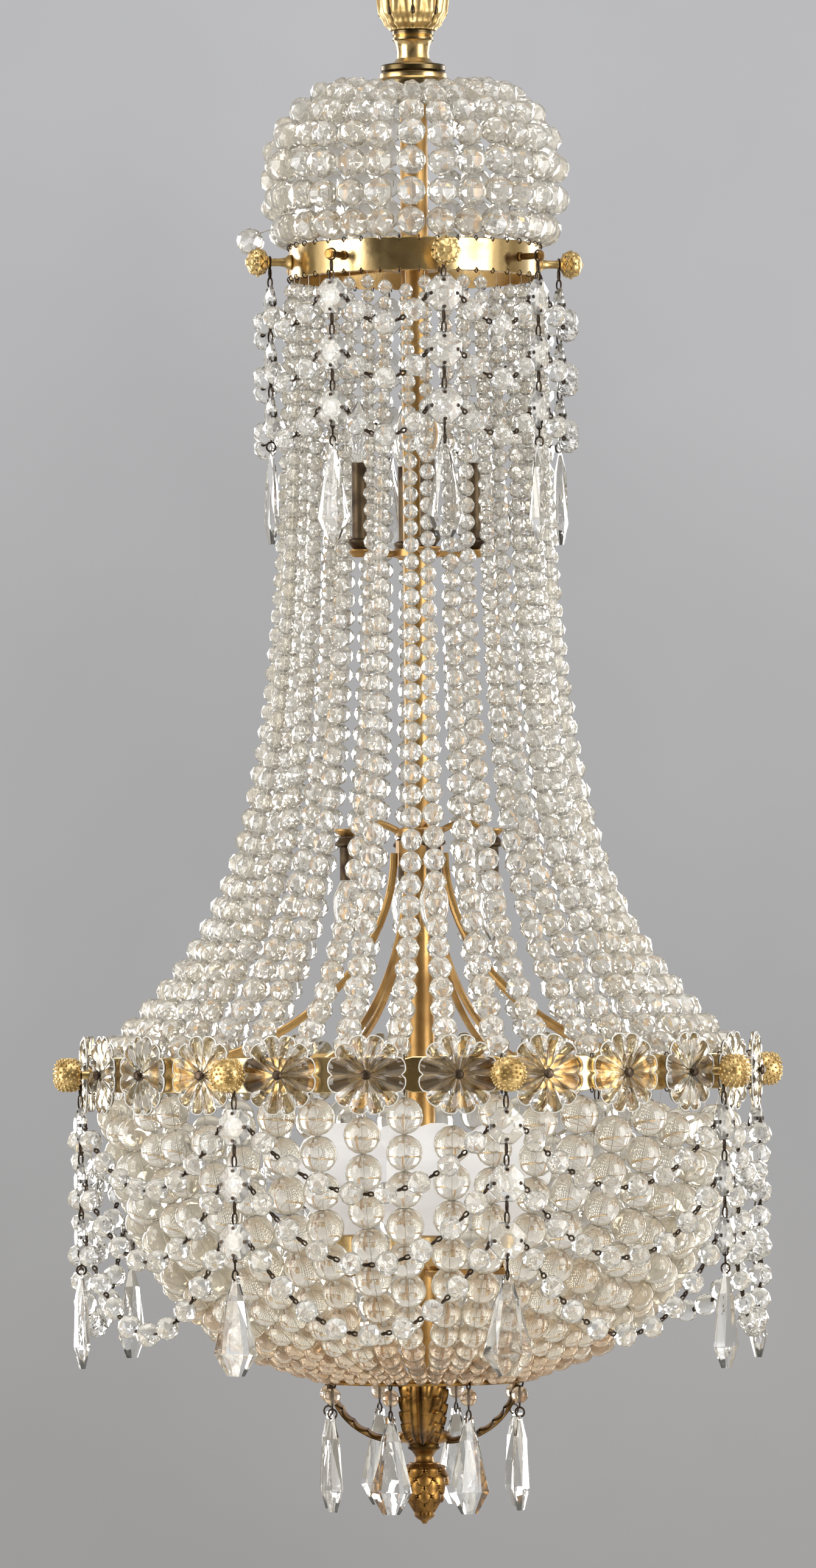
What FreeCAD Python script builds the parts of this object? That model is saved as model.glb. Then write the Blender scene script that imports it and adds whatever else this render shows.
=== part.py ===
# Crystal bag-and-basket chandelier: a bronze frame of rings on a central column, dressed with
# strings of glass beads, chained octagon crystals, swags and hanging prisms.
# Millimetres, +Z up. The origin is the centre of the hanging bore in the cast eye at the top.
# Heights in the sheet are measured up from the middle plane of the lower ring.
import FreeCAD, Part
import Sketcher
import math
import os

DRIVING_SIZES = {
    # Levels above the lower ring
    "hang_height": 825.0,
    "neck_top_height": 754.0,
    "canopy_top_height": 723.0,
    "canopy_bottom_height": 711.0,
    "upper_ring_height": 585.0,
    "upper_lamp_height": 375.0,
    "middle_hub_height": 164.0,
    "basket_lamp_height": -144.0,
    "bottom_ring_height": -222.0,
    "bracket_hub_height": -258.0,
    # Fits
    "seat_gap": 0.3,
    "sleeve_gap": 0.1,
    # Hanging eye
    "eye_outer_radius": 21.0,
    "eye_bore_radius": 12.0,
    "eye_thickness": 8.0,
    "eye_stem_radius": 6.0,
    # Acanthus cup
    "cup_height": 44.0,
    "cup_base_radius": 17.0,
    "cup_belly_radius": 27.0,
    "cup_tip_radius": 25.0,
    "cup_groove_depth": 3.0,
    # Neck and canopy
    "neck_collar_radius": 15.0,
    "neck_waist_radius": 11.5,
    "neck_foot_radius": 23.5,
    "neck_foot_thickness": 5.5,
    "canopy_radius": 27.0,
    "canopy_step_radius": 24.5,
    "canopy_step_height": 5.0,
    # Column
    "column_radius": 10.0,
    "column_wall": 2.5,
    # Upper ring
    "upper_ring_radius": 91.0,
    "upper_ring_width": 24.0,
    "upper_ring_wall": 3.0,
    "upper_knob_radius": 10.0,
    "upper_knob_length": 16.0,
    "knob_stem_radius": 3.0,
    "upper_phase": 11.0,
    # Lower ring
    "lower_ring_radius": 240.0,
    "lower_ring_width": 25.0,
    "lower_ring_wall": 4.0,
    "lower_knob_radius": 12.0,
    "lower_knob_length": 18.0,
    "lower_phase": 13.5,
    "rosette_radius": 28.0,
    "rosette_thickness": 5.0,
    "rosette_standoff": 2.0,
    "rosette_pin_radius": 2.0,
    # Bottom ring, leaf bracket and finial
    "bottom_ring_radius": 75.0,
    "bottom_ring_section": 4.0,
    "bracket_strap_thickness": 6.0,
    "bracket_strap_width": 32.0,
    "bracket_hub_radius": 20.0,
    "bracket_hub_thickness": 10.0,
    "bracket_phase": -2.0,
    "finial_length": 60.0,
    "finial_radius": 17.5,
    "finial_neck_radius": 6.5,
    "bottom_phase": 26.0,
    # Strings of beads
    "crown_bead": 19.0,
    "body_bead_top": 11.0,
    "body_bead_bottom": 20.0,
    "basket_bead": 28.0,
    "crown_shoulder": 99.0,
    # Drops of the two tiers
    "crystal_width": 26.0,
    "crystal_thickness": 8.0,
    "crystal_pitch": 40.0,
    "upper_drop_radius": 106.5,
    "lower_drop_radius": 251.0,
    "upper_first_crystal": 30.0,
    "lower_first_crystal": 36.0,
    "wire": 1.4,
    "swag_bead": 17.0,
    "upper_swag_sag": 22.0,
    "lower_swag_sag": 48.0,
    "swag_sag_growth": 9.0,
    "upper_swag_bulge": 9.0,
    "lower_swag_bulge": 4.0,
    # Prisms
    "prism_length": 70.0,
    "prism_drop": 10.5,
    "prism_eye_width": 7.0,
    "prism_eye_thickness": 2.6,
    "prism_thickness": 8.4,
    "upper_prism_width": 27.0,
    "lower_prism_width": 36.0,
    "bottom_prism_width": 32.0,
    "prism_hole_width": 2.6,
    "prism_hole_height": 3.2,
    "prism_lip": 1.4,
    "prism_loop_radius": 3.4,
    # Lamps
    "arm_thickness": 6.0,
    "upper_lamp_radius": 42.0,
    "middle_lamp_radius": 53.0,
    "basket_lamp_radius": 58.0,
    "hub_radius": 17.0,
    "socket_radius": 9.0,
    "candle_radius": 5.5,
    "candle_length": 62.0,
    "candle_bulb_radius": 12.0,
    "candle_bulb_length": 44.0,
    "globe_radius": 37.0,
    "globe_length": 80.0,
    # Stays
    "stay_thickness": 5.0,
}

UPPER_ROWS = 8
LOWER_ROWS = 8
BOTTOM_ROWS = 8
CRYSTALS_PER_DROP = 3
CROWN_STRINGS = 28
CURTAIN_STRINGS = 40
BASKET_STRINGS = 44
ROSETTES = 24
STAYS = 8
LAMPS = 4
STRAPS = 4
PETALS = 10
RING_FLATS = 48
SMALL_RING_FLATS = 32
HUB_FLATS = 12
LOOP_FLATS = 6
SWAG_STEPS = 4
TURNING_FLATS = 6
OCTAGON_CORNER = math.tan(math.radians(22.5))
FLATNESS = 1e-6


class Size:
    """A dimension that carries its value and the sheet expression it comes from."""

    def __init__(self, value, text):
        self.value = value
        self.text = text

    @staticmethod
    def of(other):
        return other if isinstance(other, Size) else Size(float(other), repr(float(other)))

    def combine(self, other, sign, value):
        return Size(value, "(" + self.text + " " + sign + " " + Size.of(other).text + ")")

    def __add__(self, other):
        return self.combine(other, "+", self.value + Size.of(other).value)

    def __sub__(self, other):
        return self.combine(other, "-", self.value - Size.of(other).value)

    def __mul__(self, other):
        return self.combine(other, "*", self.value * Size.of(other).value)

    def __truediv__(self, other):
        return self.combine(other, "/", self.value / Size.of(other).value)

    def __rsub__(self, other):
        return Size.of(other) - self

    def __neg__(self):
        return Size.of(0) - self

    __radd__ = __add__
    __rmul__ = __mul__


class Sizes:
    """The sheet's aliases as attributes."""


doc = FreeCAD.newDocument("chandelier")
sheet = doc.addObject("Spreadsheet::Sheet", "Sizes")
for row, (alias, number) in enumerate(DRIVING_SIZES.items(), start=1):
    sheet.set("A" + str(row), alias)
    sheet.set("B" + str(row), str(number))
    sheet.setAlias("B" + str(row), alias)
doc.recompute()
s = Sizes()
for alias in DRIVING_SIZES:
    setattr(s, alias, Size(float(sheet.get(alias)), "Sizes." + alias))
parts = []


# ---------------------------------------------------------------- shared ways of making a piece

def seat(piece, turn):
    """Puts a piece at its level under the hanging bore and turns it about the column."""
    piece.setExpression("Placement.Base.z", (-s.hang_height).text)
    piece.setExpression("Placement.Rotation.Angle", Size.of(turn).text)


def new_body(label, turn=0):
    body = doc.addObject("PartDesign::Body", label)
    body.Label = label
    body.AllowCompound = True
    seat(body, turn)
    parts.append(body)
    return body


def new_feature(label, solids, turn=0):
    feature = doc.addObject("Part::Feature", label)
    feature.Label = label
    feature.Shape = solids[0] if len(solids) == 1 else Part.makeCompound(solids)
    seat(feature, turn)
    parts.append(feature)
    return feature


def plane_of(body, role):
    return next(item for item in body.Origin.OriginFeatures if item.Role == role)


def new_sketch(body, role, offset=None):
    sketch = body.newObject("Sketcher::SketchObject", body.Label + "_sketch")
    sketch.AttachmentSupport = [(plane_of(body, role), "")]
    sketch.MapMode = "FlatFace"
    if offset is not None:
        sketch.setExpression("AttachmentOffset.Base.z", Size.of(offset).text)
    return sketch


def fix_point(sketch, index, which, x, y):
    for kind, size in (("DistanceX", Size.of(x)), ("DistanceY", Size.of(y))):
        number = sketch.addConstraint(Sketcher.Constraint(kind, -1, 1, index, which, size.value))
        sketch.setExpression("Constraints[" + str(number) + "]", size.text)


def draw_polygon(sketch, corners):
    """A closed outline whose corners follow the sheet."""
    first = sketch.GeometryCount
    count = len(corners)
    places = [FreeCAD.Vector(Size.of(x).value, Size.of(y).value, 0) for x, y in corners]
    for i in range(count):
        sketch.addGeometry(Part.LineSegment(places[i], places[(i + 1) % count]), False)
    for i in range(count):
        joined = Sketcher.Constraint("Coincident", first + i, 2, first + (i + 1) % count, 1)
        sketch.addConstraint(joined)
    for i, (x, y) in enumerate(corners):
        fix_point(sketch, first + i, 1, x, y)


def draw_circle(sketch, x, y, radius):
    centre = FreeCAD.Vector(Size.of(x).value, Size.of(y).value, 0)
    index = sketch.addGeometry(Part.Circle(centre, FreeCAD.Vector(0, 0, 1), radius.value), False)
    fix_point(sketch, index, 3, x, y)
    number = sketch.addConstraint(Sketcher.Constraint("Radius", index, radius.value))
    sketch.setExpression("Constraints[" + str(number) + "]", radius.text)


def ring_corners(sides, radius, x=0, y=0, turn=0.0, groove=0):
    """Corners of a regular polygon; a groove pulls every second corner inwards."""
    corners = []
    for i in range(sides):
        angle = math.radians(turn) + 2 * math.pi * i / sides
        reach = Size.of(radius) - (groove if i % 2 else 0)
        corners.append((x + reach * math.cos(angle), y + reach * math.sin(angle)))
    return corners


def revolve(body, outline):
    """Turns a half outline, drawn in radius and height, about the column's axis."""
    sketch = new_sketch(body, "XZ_Plane")
    draw_polygon(sketch, outline)
    turned = body.newObject("PartDesign::Revolution", body.Label + "_turned")
    turned.Profile = sketch
    turned.ReferenceAxis = (sketch, ["V_Axis"])
    turned.Angle = 360
    return turned


def pad(body, sketch, length, both_ways=False):
    plate = body.newObject("PartDesign::Pad", body.Label + "_pad")
    plate.Profile = sketch
    plate.setExpression("Length", Size.of(length).text)
    plate.Midplane = both_ways
    return plate


def around(body, features, count):
    """Repeats features evenly about the column."""
    pattern = body.newObject("PartDesign::PolarPattern", body.Label + "_pattern")
    pattern.Originals = features
    pattern.Axis = (plane_of(body, "Z_Axis"), [""])
    pattern.Angle = 360
    pattern.Occurrences = count
    body.Tip = pattern
    return pattern


def turned_copies(solid, count):
    copies = []
    for i in range(count):
        copy = solid.copy()
        copy.rotate(FreeCAD.Vector(), FreeCAD.Vector(0, 0, 1), 360.0 * i / count)
        copies.append(copy)
    return copies


def flat_face(corners):
    return Part.Face(Part.makePolygon(corners + corners[:1]))


def facet_loft(sections):
    """A closed solid of flat facets through matching outlines; a bent facet is two triangles."""
    faces = [flat_face(sections[0]), flat_face(sections[-1])]
    count = len(sections[0])
    for near, far in zip(sections, sections[1:]):
        for i in range(count):
            a, b, c, d = near[i], near[(i + 1) % count], far[(i + 1) % count], far[i]
            bend = abs((b - a).cross(d - a).dot(c - a))
            if bend < FLATNESS:
                faces.append(flat_face([a, b, c, d]))
            else:
                faces.append(flat_face([a, b, c]))
                faces.append(flat_face([a, c, d]))
    return closed_solid(faces)


def facet_cone(outline, tip):
    """A closed solid of flat facets from an outline to a point."""
    count = len(outline)
    faces = [flat_face([outline[i], outline[(i + 1) % count], tip]) for i in range(count)]
    return closed_solid(faces + [flat_face(outline)])


def closed_solid(faces):
    shell = Part.makeShell(faces)
    shell.sewShape()
    solid = Part.makeSolid(shell)
    if solid.Volume < 0:
        solid.reverse()
    return solid


def polygon_at(sides, radius, height, groove=0.0, turn=0.0):
    """Corners round the column's axis; a groove draws every second corner in."""
    corners = []
    for i in range(sides):
        angle = 2 * math.pi * i / sides + math.radians(turn)
        reach = radius - (groove if i % 2 else 0.0)
        corners.append(FreeCAD.Vector(reach * math.cos(angle), reach * math.sin(angle), height))
    return corners


def bar(path, sides=4, start_out=None, end_out=None):
    """A bar in the plane of X and Z: each point of its path is (radius, height, depth, width).

    start_out and end_out, as (x, z), set the direction of the end sections' depth.
    """
    sections = []
    last = len(path) - 1
    for i, (radius, height, depth, width) in enumerate(path):
        before = path[max(i - 1, 0)]
        after = path[min(i + 1, last)]
        run = FreeCAD.Vector(after[0] - before[0], 0, after[1] - before[1]).normalize()
        out = FreeCAD.Vector(-run.z, 0, run.x)
        if start_out and i == 0:
            out = FreeCAD.Vector(start_out[0], 0, start_out[1])
        if end_out and i == last:
            out = FreeCAD.Vector(end_out[0], 0, end_out[1])
        side = FreeCAD.Vector(0, 1, 0)
        centre = FreeCAD.Vector(radius, 0, height)
        sections.append(section_corners(centre, out, side, depth / 2, width / 2, sides))
    return facet_loft(sections)


def section_corners(centre, out, side, depth, width, sides):
    if sides == 3:
        shape = ((0.8, -1), (0.8, 1), (-1, 0))
    else:
        shape = ((1, -1), (1, 1), (-1, 1), (-1, -1))
    return [centre + out * depth * a + side * width * b for a, b in shape]


# ---------------------------------------------------------------- top of the frame

def hanging_eye():
    body = new_body("hanging_eye")
    face = new_sketch(body, "XZ_Plane")
    draw_polygon(face, ring_corners(24, s.eye_outer_radius, y=s.hang_height))
    draw_circle(face, 0, s.hang_height, s.eye_bore_radius)
    pad(body, face, s.eye_thickness, both_ways=True)
    stem_base = s.neck_top_height + s.cup_height
    stem = new_sketch(body, "XY_Plane", stem_base)
    draw_polygon(stem, ring_corners(12, s.eye_stem_radius))
    rim = (s.eye_outer_radius - s.eye_bore_radius) / 2
    pad(body, stem, s.hang_height - s.eye_outer_radius + rim - stem_base)


def acanthus_cup():
    """A cup of eight upright leaves: grooved between the leaves, with tips that curl out."""
    groove = s.cup_groove_depth.value
    base = s.neck_top_height.value
    tall = s.cup_height.value
    foot = s.cup_base_radius.value
    belly = s.cup_belly_radius.value
    tip = s.cup_tip_radius.value
    profile = (
        (0.0, foot, 0.5), (0.2, foot * 1.25, 0.7), (0.45, belly, 1.0), (0.75, tip * 0.9, 1.3),
        (1.0, tip, 2.2),
    )
    cup = facet_loft([polygon_at(16, radius, base + tall * share, groove * depth)
                      for share, radius, depth in profile])
    new_feature("acanthus_cup", [cup])


def neck_baluster():
    """A turned neck: a wide foot, a narrow waist and a plain collar under the cup."""
    foot = s.canopy_top_height.value
    rise = s.neck_top_height.value - foot
    thick = s.neck_foot_thickness.value
    profile = (
        (foot, s.neck_foot_radius), (foot + thick, s.neck_foot_radius),
        (foot + thick * 1.4, s.neck_foot_radius * 0.66), (foot + rise * 0.44, s.neck_waist_radius),
        (foot + rise * 0.62, s.neck_waist_radius * 1.06), (foot + rise * 0.77, s.neck_collar_radius),
        (foot + rise, s.neck_collar_radius),
    )
    neck = facet_loft([polygon_at(16, radius.value, height) for height, radius in profile])
    new_feature("neck_baluster", [neck])


def crown_canopy():
    """A stepped disc; the crown's strings leave from its rim."""
    low = s.canopy_bottom_height.value
    top = s.canopy_top_height.value
    step = top - s.canopy_step_height.value
    rim = s.canopy_radius.value
    upper = s.canopy_step_radius.value
    profile = ((low, rim), (step, rim), (step + 1, upper), (top, upper * 0.97))
    disc = facet_loft([polygon_at(CROWN_STRINGS, radius, height) for height, radius in profile])
    new_feature("crown_canopy", [disc], s.upper_phase)


def column_tube():
    body = new_body("column_tube")
    inner = s.column_radius - s.column_wall
    top = s.canopy_bottom_height
    foot = s.bracket_hub_height
    outline = [(inner, foot), (s.column_radius, foot), (s.column_radius, top), (inner, top)]
    revolve(body, outline)


# ---------------------------------------------------------------- rings, knobs and rosettes

def band(label, sides, radius, wall, low, high, turn):
    """A brass band: a tall, thin ring with many flats."""
    body = new_body(label, turn)
    sketch = new_sketch(body, "XY_Plane", low)
    draw_polygon(sketch, ring_corners(sides, radius))
    draw_polygon(sketch, ring_corners(sides, radius - wall))
    pad(body, sketch, high - low)


def upper_ring():
    middle = s.upper_ring_height
    half = s.upper_ring_width / 2
    band("upper_ring", RING_FLATS, s.upper_ring_radius, s.upper_ring_wall,
         middle - half, middle + half, s.upper_phase)


def lower_ring():
    half = s.lower_ring_width / 2
    band("lower_ring", RING_FLATS, s.lower_ring_radius, s.lower_ring_wall, -half, half,
         s.lower_phase)


def radial_turning(height, profile, sides):
    """A faceted turning on a radial axis: each station is (distance from the column, radius)."""
    sections = []
    for reach, radius in profile:
        corners = []
        for i in range(sides):
            angle = 2 * math.pi * (i + 0.5) / sides
            across = radius * math.cos(angle)
            up = radius * math.sin(angle)
            corners.append(FreeCAD.Vector(reach, across, height + up))
        sections.append(corners)
    return facet_loft(sections)


def upper_ring_knobs():
    """Four pinecones on waisted stems, seated against the outside of the band."""
    start = s.upper_ring_radius.value + s.seat_gap.value
    neck = s.upper_drop_radius.value + s.wire.value
    length = s.upper_knob_length.value
    radius = s.upper_knob_radius.value
    stem = s.knob_stem_radius.value
    profile = (
        (start, stem * 1.6), (start + 3, stem), (neck, stem), (neck + 0.2 * length, 0.95 * radius),
        (neck + 0.5 * length, radius), (neck + 0.8 * length, 0.75 * radius),
        (neck + length, 0.25 * radius),
    )
    knob = radial_turning(s.upper_ring_height.value, profile, TURNING_FLATS)
    new_feature("upper_ring_knobs", turned_copies(knob, UPPER_ROWS // 2), s.upper_phase)


def upper_ring_pins():
    """Four headed pins between the pinecones, which carry the other drops."""
    start = s.upper_ring_radius.value + s.seat_gap.value
    neck = s.upper_drop_radius.value + s.wire.value
    stem = s.knob_stem_radius.value
    profile = ((start, stem), (neck, stem), (neck + 0.5, 1.7 * stem), (neck + 3, 1.2 * stem))
    pin = radial_turning(s.upper_ring_height.value, profile, 4)
    new_feature("upper_ring_pins", turned_copies(pin, UPPER_ROWS // 2), s.upper_phase + 45)


def lower_ring_knobs():
    """Eight thimble-shaped knobs with a domed end, on stems through the row of rosettes."""
    start = s.lower_ring_radius.value + s.seat_gap.value
    neck = s.lower_drop_radius.value + s.wire.value
    length = s.lower_knob_length.value
    radius = s.lower_knob_radius.value
    stem = s.knob_stem_radius.value
    profile = (
        (start, stem), (neck, stem), (neck + 0.1 * length, 0.9 * radius),
        (neck + 0.7 * length, radius), (neck + length, 0.6 * radius),
    )
    knob = radial_turning(0, profile, 8)
    new_feature("lower_ring_knobs", turned_copies(knob, LOWER_ROWS), s.lower_phase)


def rosettes():
    """Pressed-glass flowers round the lower ring, domed to the pin that holds each one."""
    back = s.lower_ring_radius.value + s.rosette_standoff.value
    radius = s.rosette_radius.value
    outline = []
    for i in range(2 * PETALS):
        angle = math.pi * i / PETALS
        reach = radius * (0.86 if i % 2 else 1.0)
        outline.append(FreeCAD.Vector(back, reach * math.cos(angle), reach * math.sin(angle)))
    flower = facet_cone(outline, FreeCAD.Vector(back + s.rosette_thickness.value, 0, 0))
    new_feature("rosettes", turned_copies(flower, ROSETTES), s.lower_phase + 7.5)


def rosette_pins():
    """Pins of the rosettes: a spacer against the band and a head in front of the flower."""
    face = s.lower_ring_radius.value + s.seat_gap.value
    back = s.lower_ring_radius.value + s.rosette_standoff.value - s.seat_gap.value
    front = back + 2 * s.seat_gap.value + s.rosette_thickness.value
    radius = s.rosette_pin_radius.value
    foot = radial_turning(0, ((face, radius), (back, radius)), 4)
    head = radial_turning(0, ((front, 1.8 * radius), (front + 1.6 * radius, radius)), 4)
    pins = turned_copies(foot, ROSETTES) + turned_copies(head, ROSETTES)
    new_feature("rosette_pins", pins, s.lower_phase + 7.5)


# ---------------------------------------------------------------- inner frame

def collar_hub(label, height, thickness, turn):
    """A collar that sleeves the column."""
    body = new_body(label, turn)
    sketch = new_sketch(body, "XY_Plane", height - thickness / 2)
    draw_polygon(sketch, ring_corners(HUB_FLATS, s.hub_radius))
    sleeve = (s.column_radius + s.sleeve_gap) / math.cos(math.pi / HUB_FLATS)
    draw_polygon(sketch, ring_corners(HUB_FLATS, sleeve))
    pad(body, sketch, thickness)
    return body


def upper_ring_spider():
    """Four flat spokes and a collar that hold the upper ring on the column."""
    body = collar_hub("upper_ring_spider", s.upper_ring_height, s.arm_thickness * 2, s.upper_phase + 22.5)
    reach = (s.upper_ring_radius - s.upper_ring_wall) * math.cos(math.pi / RING_FLATS) - s.seat_gap
    sketch = new_sketch(body, "XY_Plane", s.upper_ring_height - s.arm_thickness / 2)
    half = s.arm_thickness / 2
    start = s.hub_radius - 2
    draw_polygon(sketch, [(start, -half), (reach, -half), (reach, half), (start, half)])
    spoke = pad(body, sketch, s.arm_thickness)
    around(body, [spoke], 4)


def ring_stays():
    """Curved stays from the hub on the column down and out to the inside of the lower ring."""
    top = s.middle_hub_height.value - s.arm_thickness.value
    thick = s.stay_thickness.value
    start = s.hub_radius.value + s.seat_gap.value + thick / 2
    end = (s.lower_ring_radius.value - s.lower_ring_wall.value) * math.cos(math.pi / RING_FLATS)
    end -= s.seat_gap.value
    path = []
    steps = 4
    for i in range(steps + 1):
        angle = math.radians(90.0 * i / steps)
        radius = start + (end - start) * (1 - math.cos(angle))
        path.append((radius, top * (1 - math.sin(angle)), thick, thick))
    stay = bar(path, start_out=(1, 0), end_out=(0, 1))
    new_feature("ring_stays", turned_copies(stay, STAYS), s.lower_phase + 11.25)


def stay_hub():
    collar_hub("stay_hub", s.middle_hub_height - s.arm_thickness, s.arm_thickness * 3, 0)


# ---------------------------------------------------------------- lamps

def lamp_arms(label, height, radius, turn):
    """A collar on the column with four arms, each ending in a round seat for a socket."""
    body = collar_hub(label, height, s.arm_thickness, turn)
    half = s.arm_thickness / 2
    arm = new_sketch(body, "XY_Plane", height - half)
    start = s.hub_radius - 2
    end = radius - s.socket_radius * 0.6
    draw_polygon(arm, [(start, -half), (end, -half), (end, half), (start, half)])
    arm_bar = pad(body, arm, s.arm_thickness)
    seat_sketch = new_sketch(body, "XY_Plane", height - half)
    draw_polygon(seat_sketch, ring_corners(8, s.socket_radius, x=radius))
    seat_disc = pad(body, seat_sketch, s.arm_thickness)
    around(body, [arm_bar, seat_disc], LAMPS)


def upright_turning(radius_out, profile, sides, direction=1):
    """A faceted turning on an upright axis at a distance from the column."""
    sections = []
    for height, radius in profile:
        corners = []
        for i in range(sides):
            angle = direction * 2 * math.pi * (i + 0.5) / sides
            corners.append(FreeCAD.Vector(
                radius_out + radius * math.cos(angle), radius * math.sin(angle), height))
        sections.append(corners)
    return facet_loft(sections)


def lamp_levels(arm_height, direction):
    """Where a socket starts on its arm, and where its bulb starts."""
    start = arm_height.value + direction * (s.arm_thickness.value / 2 + s.seat_gap.value)
    return start, start + direction * s.candle_length.value


def candle_sockets():
    """Brass-cupped candle tubes: four stand on the upper arms, four hang from the middle arms."""
    solids = []
    sleeve = s.candle_radius.value
    cup = s.socket_radius.value
    clusters = ((s.upper_lamp_height, s.upper_lamp_radius, 1),
                (s.middle_hub_height + s.arm_thickness * 1.5, s.middle_lamp_radius, -1))
    for height, radius, direction in clusters:
        start, end = lamp_levels(height, direction)
        if direction < 0:
            end = start - s.candle_length.value / 2
        profile = ((start, cup * 0.6), (start + direction * 5, cup), (start + direction * 7, sleeve),
                   (end, sleeve))
        solids += turned_copies(upright_turning(radius.value, profile, TURNING_FLATS, direction), LAMPS)
    new_feature("candle_sockets", solids, s.upper_phase)


def candle_bulbs():
    solids = []
    length = s.candle_bulb_length.value
    radius = s.candle_bulb_radius.value
    clusters = ((s.upper_lamp_height, s.upper_lamp_radius, 1),
                (s.middle_hub_height + s.arm_thickness * 1.5, s.middle_lamp_radius, -1))
    for height, reach, direction in clusters:
        start, end = lamp_levels(height, direction)
        if direction < 0:
            end = start - s.candle_length.value / 2
        base = end + direction * s.seat_gap.value
        profile = ((base, 0.5 * radius), (base + direction * 0.35 * length, radius),
                   (base + direction * 0.6 * length, 0.85 * radius),
                   (base + direction * length, 0.15 * radius))
        solids += turned_copies(upright_turning(reach.value, profile, TURNING_FLATS, direction), LAMPS)
    new_feature("candle_bulbs", solids, s.upper_phase)


def basket_sockets():
    start = s.basket_lamp_height.value + s.arm_thickness.value / 2 + s.seat_gap.value
    cup = s.socket_radius.value
    profile = ((start, cup * 0.7), (start + 8, cup * 1.4), (start + 24, cup * 1.4))
    socket = upright_turning(s.basket_lamp_radius.value, profile, 8)
    new_feature("basket_sockets", turned_copies(socket, LAMPS), s.upper_phase)


def basket_bulbs():
    """Frosted globes that stand in the basket's sockets."""
    base = s.basket_lamp_height.value + s.arm_thickness.value / 2 + 2 * s.seat_gap.value + 24
    radius = s.globe_radius.value
    length = s.globe_length.value
    profile = ((base, 0.45 * radius), (base + 0.25 * length, 0.75 * radius),
               (base + 0.55 * length, radius), (base + 0.8 * length, 0.85 * radius),
               (base + length, 0.35 * radius))
    globe = upright_turning(s.basket_lamp_radius.value, profile, 8)
    new_feature("basket_bulbs", turned_copies(globe, LAMPS), s.upper_phase)


# ---------------------------------------------------------------- strings of beads

def crown_strings():
    """Strings that leave the canopy's rim, swell into a dome and land on the upper ring."""
    bead = s.crown_bead.value
    top = s.canopy_bottom_height.value
    foot = s.upper_ring_height.value + s.upper_ring_width.value / 2 + s.seat_gap.value
    rise = top - foot
    start = s.canopy_radius.value
    shoulder = s.crown_shoulder.value
    ring = s.upper_ring_radius.value - s.upper_ring_wall.value / 2
    path = (
        (start + s.seat_gap.value, top + 3.0, 0.3 * bead, 0.3 * bead),
        (start + 0.42 * (shoulder - start), top - 0.02 * rise, 0.75 * bead, 0.7 * bead),
        (start + 0.78 * (shoulder - start), top - 0.16 * rise, bead, bead),
        (shoulder, top - 0.5 * rise, bead, bead),
        (shoulder - 1.0, top - 0.8 * rise, bead, bead),
        (ring + 1.5, foot, 0.7 * bead, 0.7 * bead),
    )
    string = bar(path, sides=3, start_out=(0, 1), end_out=(1, 0))
    new_feature("crown_strings", turned_copies(string, CROWN_STRINGS), s.upper_phase)


def curtain_path():
    """The sweep of the body curtain: nearly upright under the upper ring, flaring to the lower."""
    top = s.upper_ring_height.value - s.upper_ring_width.value / 2 - s.seat_gap.value
    foot = s.lower_ring_width.value / 2 + s.seat_gap.value
    inner = s.upper_ring_radius.value - s.upper_ring_wall.value / 2
    outer = s.lower_ring_radius.value - s.lower_ring_wall.value - 0.35 * s.body_bead_bottom.value
    rise = top - foot
    small = s.body_bead_top.value
    large = s.body_bead_bottom.value
    stations = ((0.0, 0.0), (0.42, 0.06), (0.68, 0.2), (0.83, 0.42), (0.94, 0.74), (1.0, 1.0))
    path = []
    for down, out in stations:
        radius = inner + (outer - inner) * out
        pitch = 2 * math.pi * radius / CURTAIN_STRINGS
        bead = min(small + (large - small) * min(1.0, 1.3 * down * down), 0.93 * pitch)
        path.append((radius, top - rise * down, bead, bead))
    return path


def body_strings():
    string = bar(curtain_path(), sides=3, start_out=(1, 0), end_out=(1, 0))
    new_feature("body_strings", turned_copies(string, CURTAIN_STRINGS), s.lower_phase)


def basket_path():
    """The basket's sweep: full under the lower ring and drawn in to the bottom ring."""
    top = -s.lower_ring_width.value / 2 - s.seat_gap.value
    foot = s.bottom_ring_height.value + s.bottom_ring_section.value / 2 + s.seat_gap.value
    outer = s.lower_ring_radius.value - s.basket_bead.value / 2
    inner = s.bottom_ring_radius.value - s.bottom_ring_section.value / 2
    stations = ((0.0, 0.0), (0.45, 0.16), (0.72, 0.38), (0.88, 0.62), (1.0, 1.0))
    path = []
    for down, draw in stations:
        radius = outer + (inner - outer) * draw
        pitch = 2 * math.pi * radius / BASKET_STRINGS
        bead = min(s.basket_bead.value, 0.95 * pitch)
        path.append((radius, top + (foot - top) * down, bead, bead))
    return path


def basket_strings():
    string = bar(basket_path(), sides=3, start_out=(1, 0), end_out=(1, 0))
    new_feature("basket_strings", turned_copies(string, BASKET_STRINGS), s.lower_phase)


# ---------------------------------------------------------------- bottom of the frame

def bottom_ring():
    middle = s.bottom_ring_height
    half = s.bottom_ring_section / 2
    band("bottom_ring", SMALL_RING_FLATS, s.bottom_ring_radius, s.bottom_ring_section,
         middle - half, middle + half, s.bracket_phase)


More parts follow.
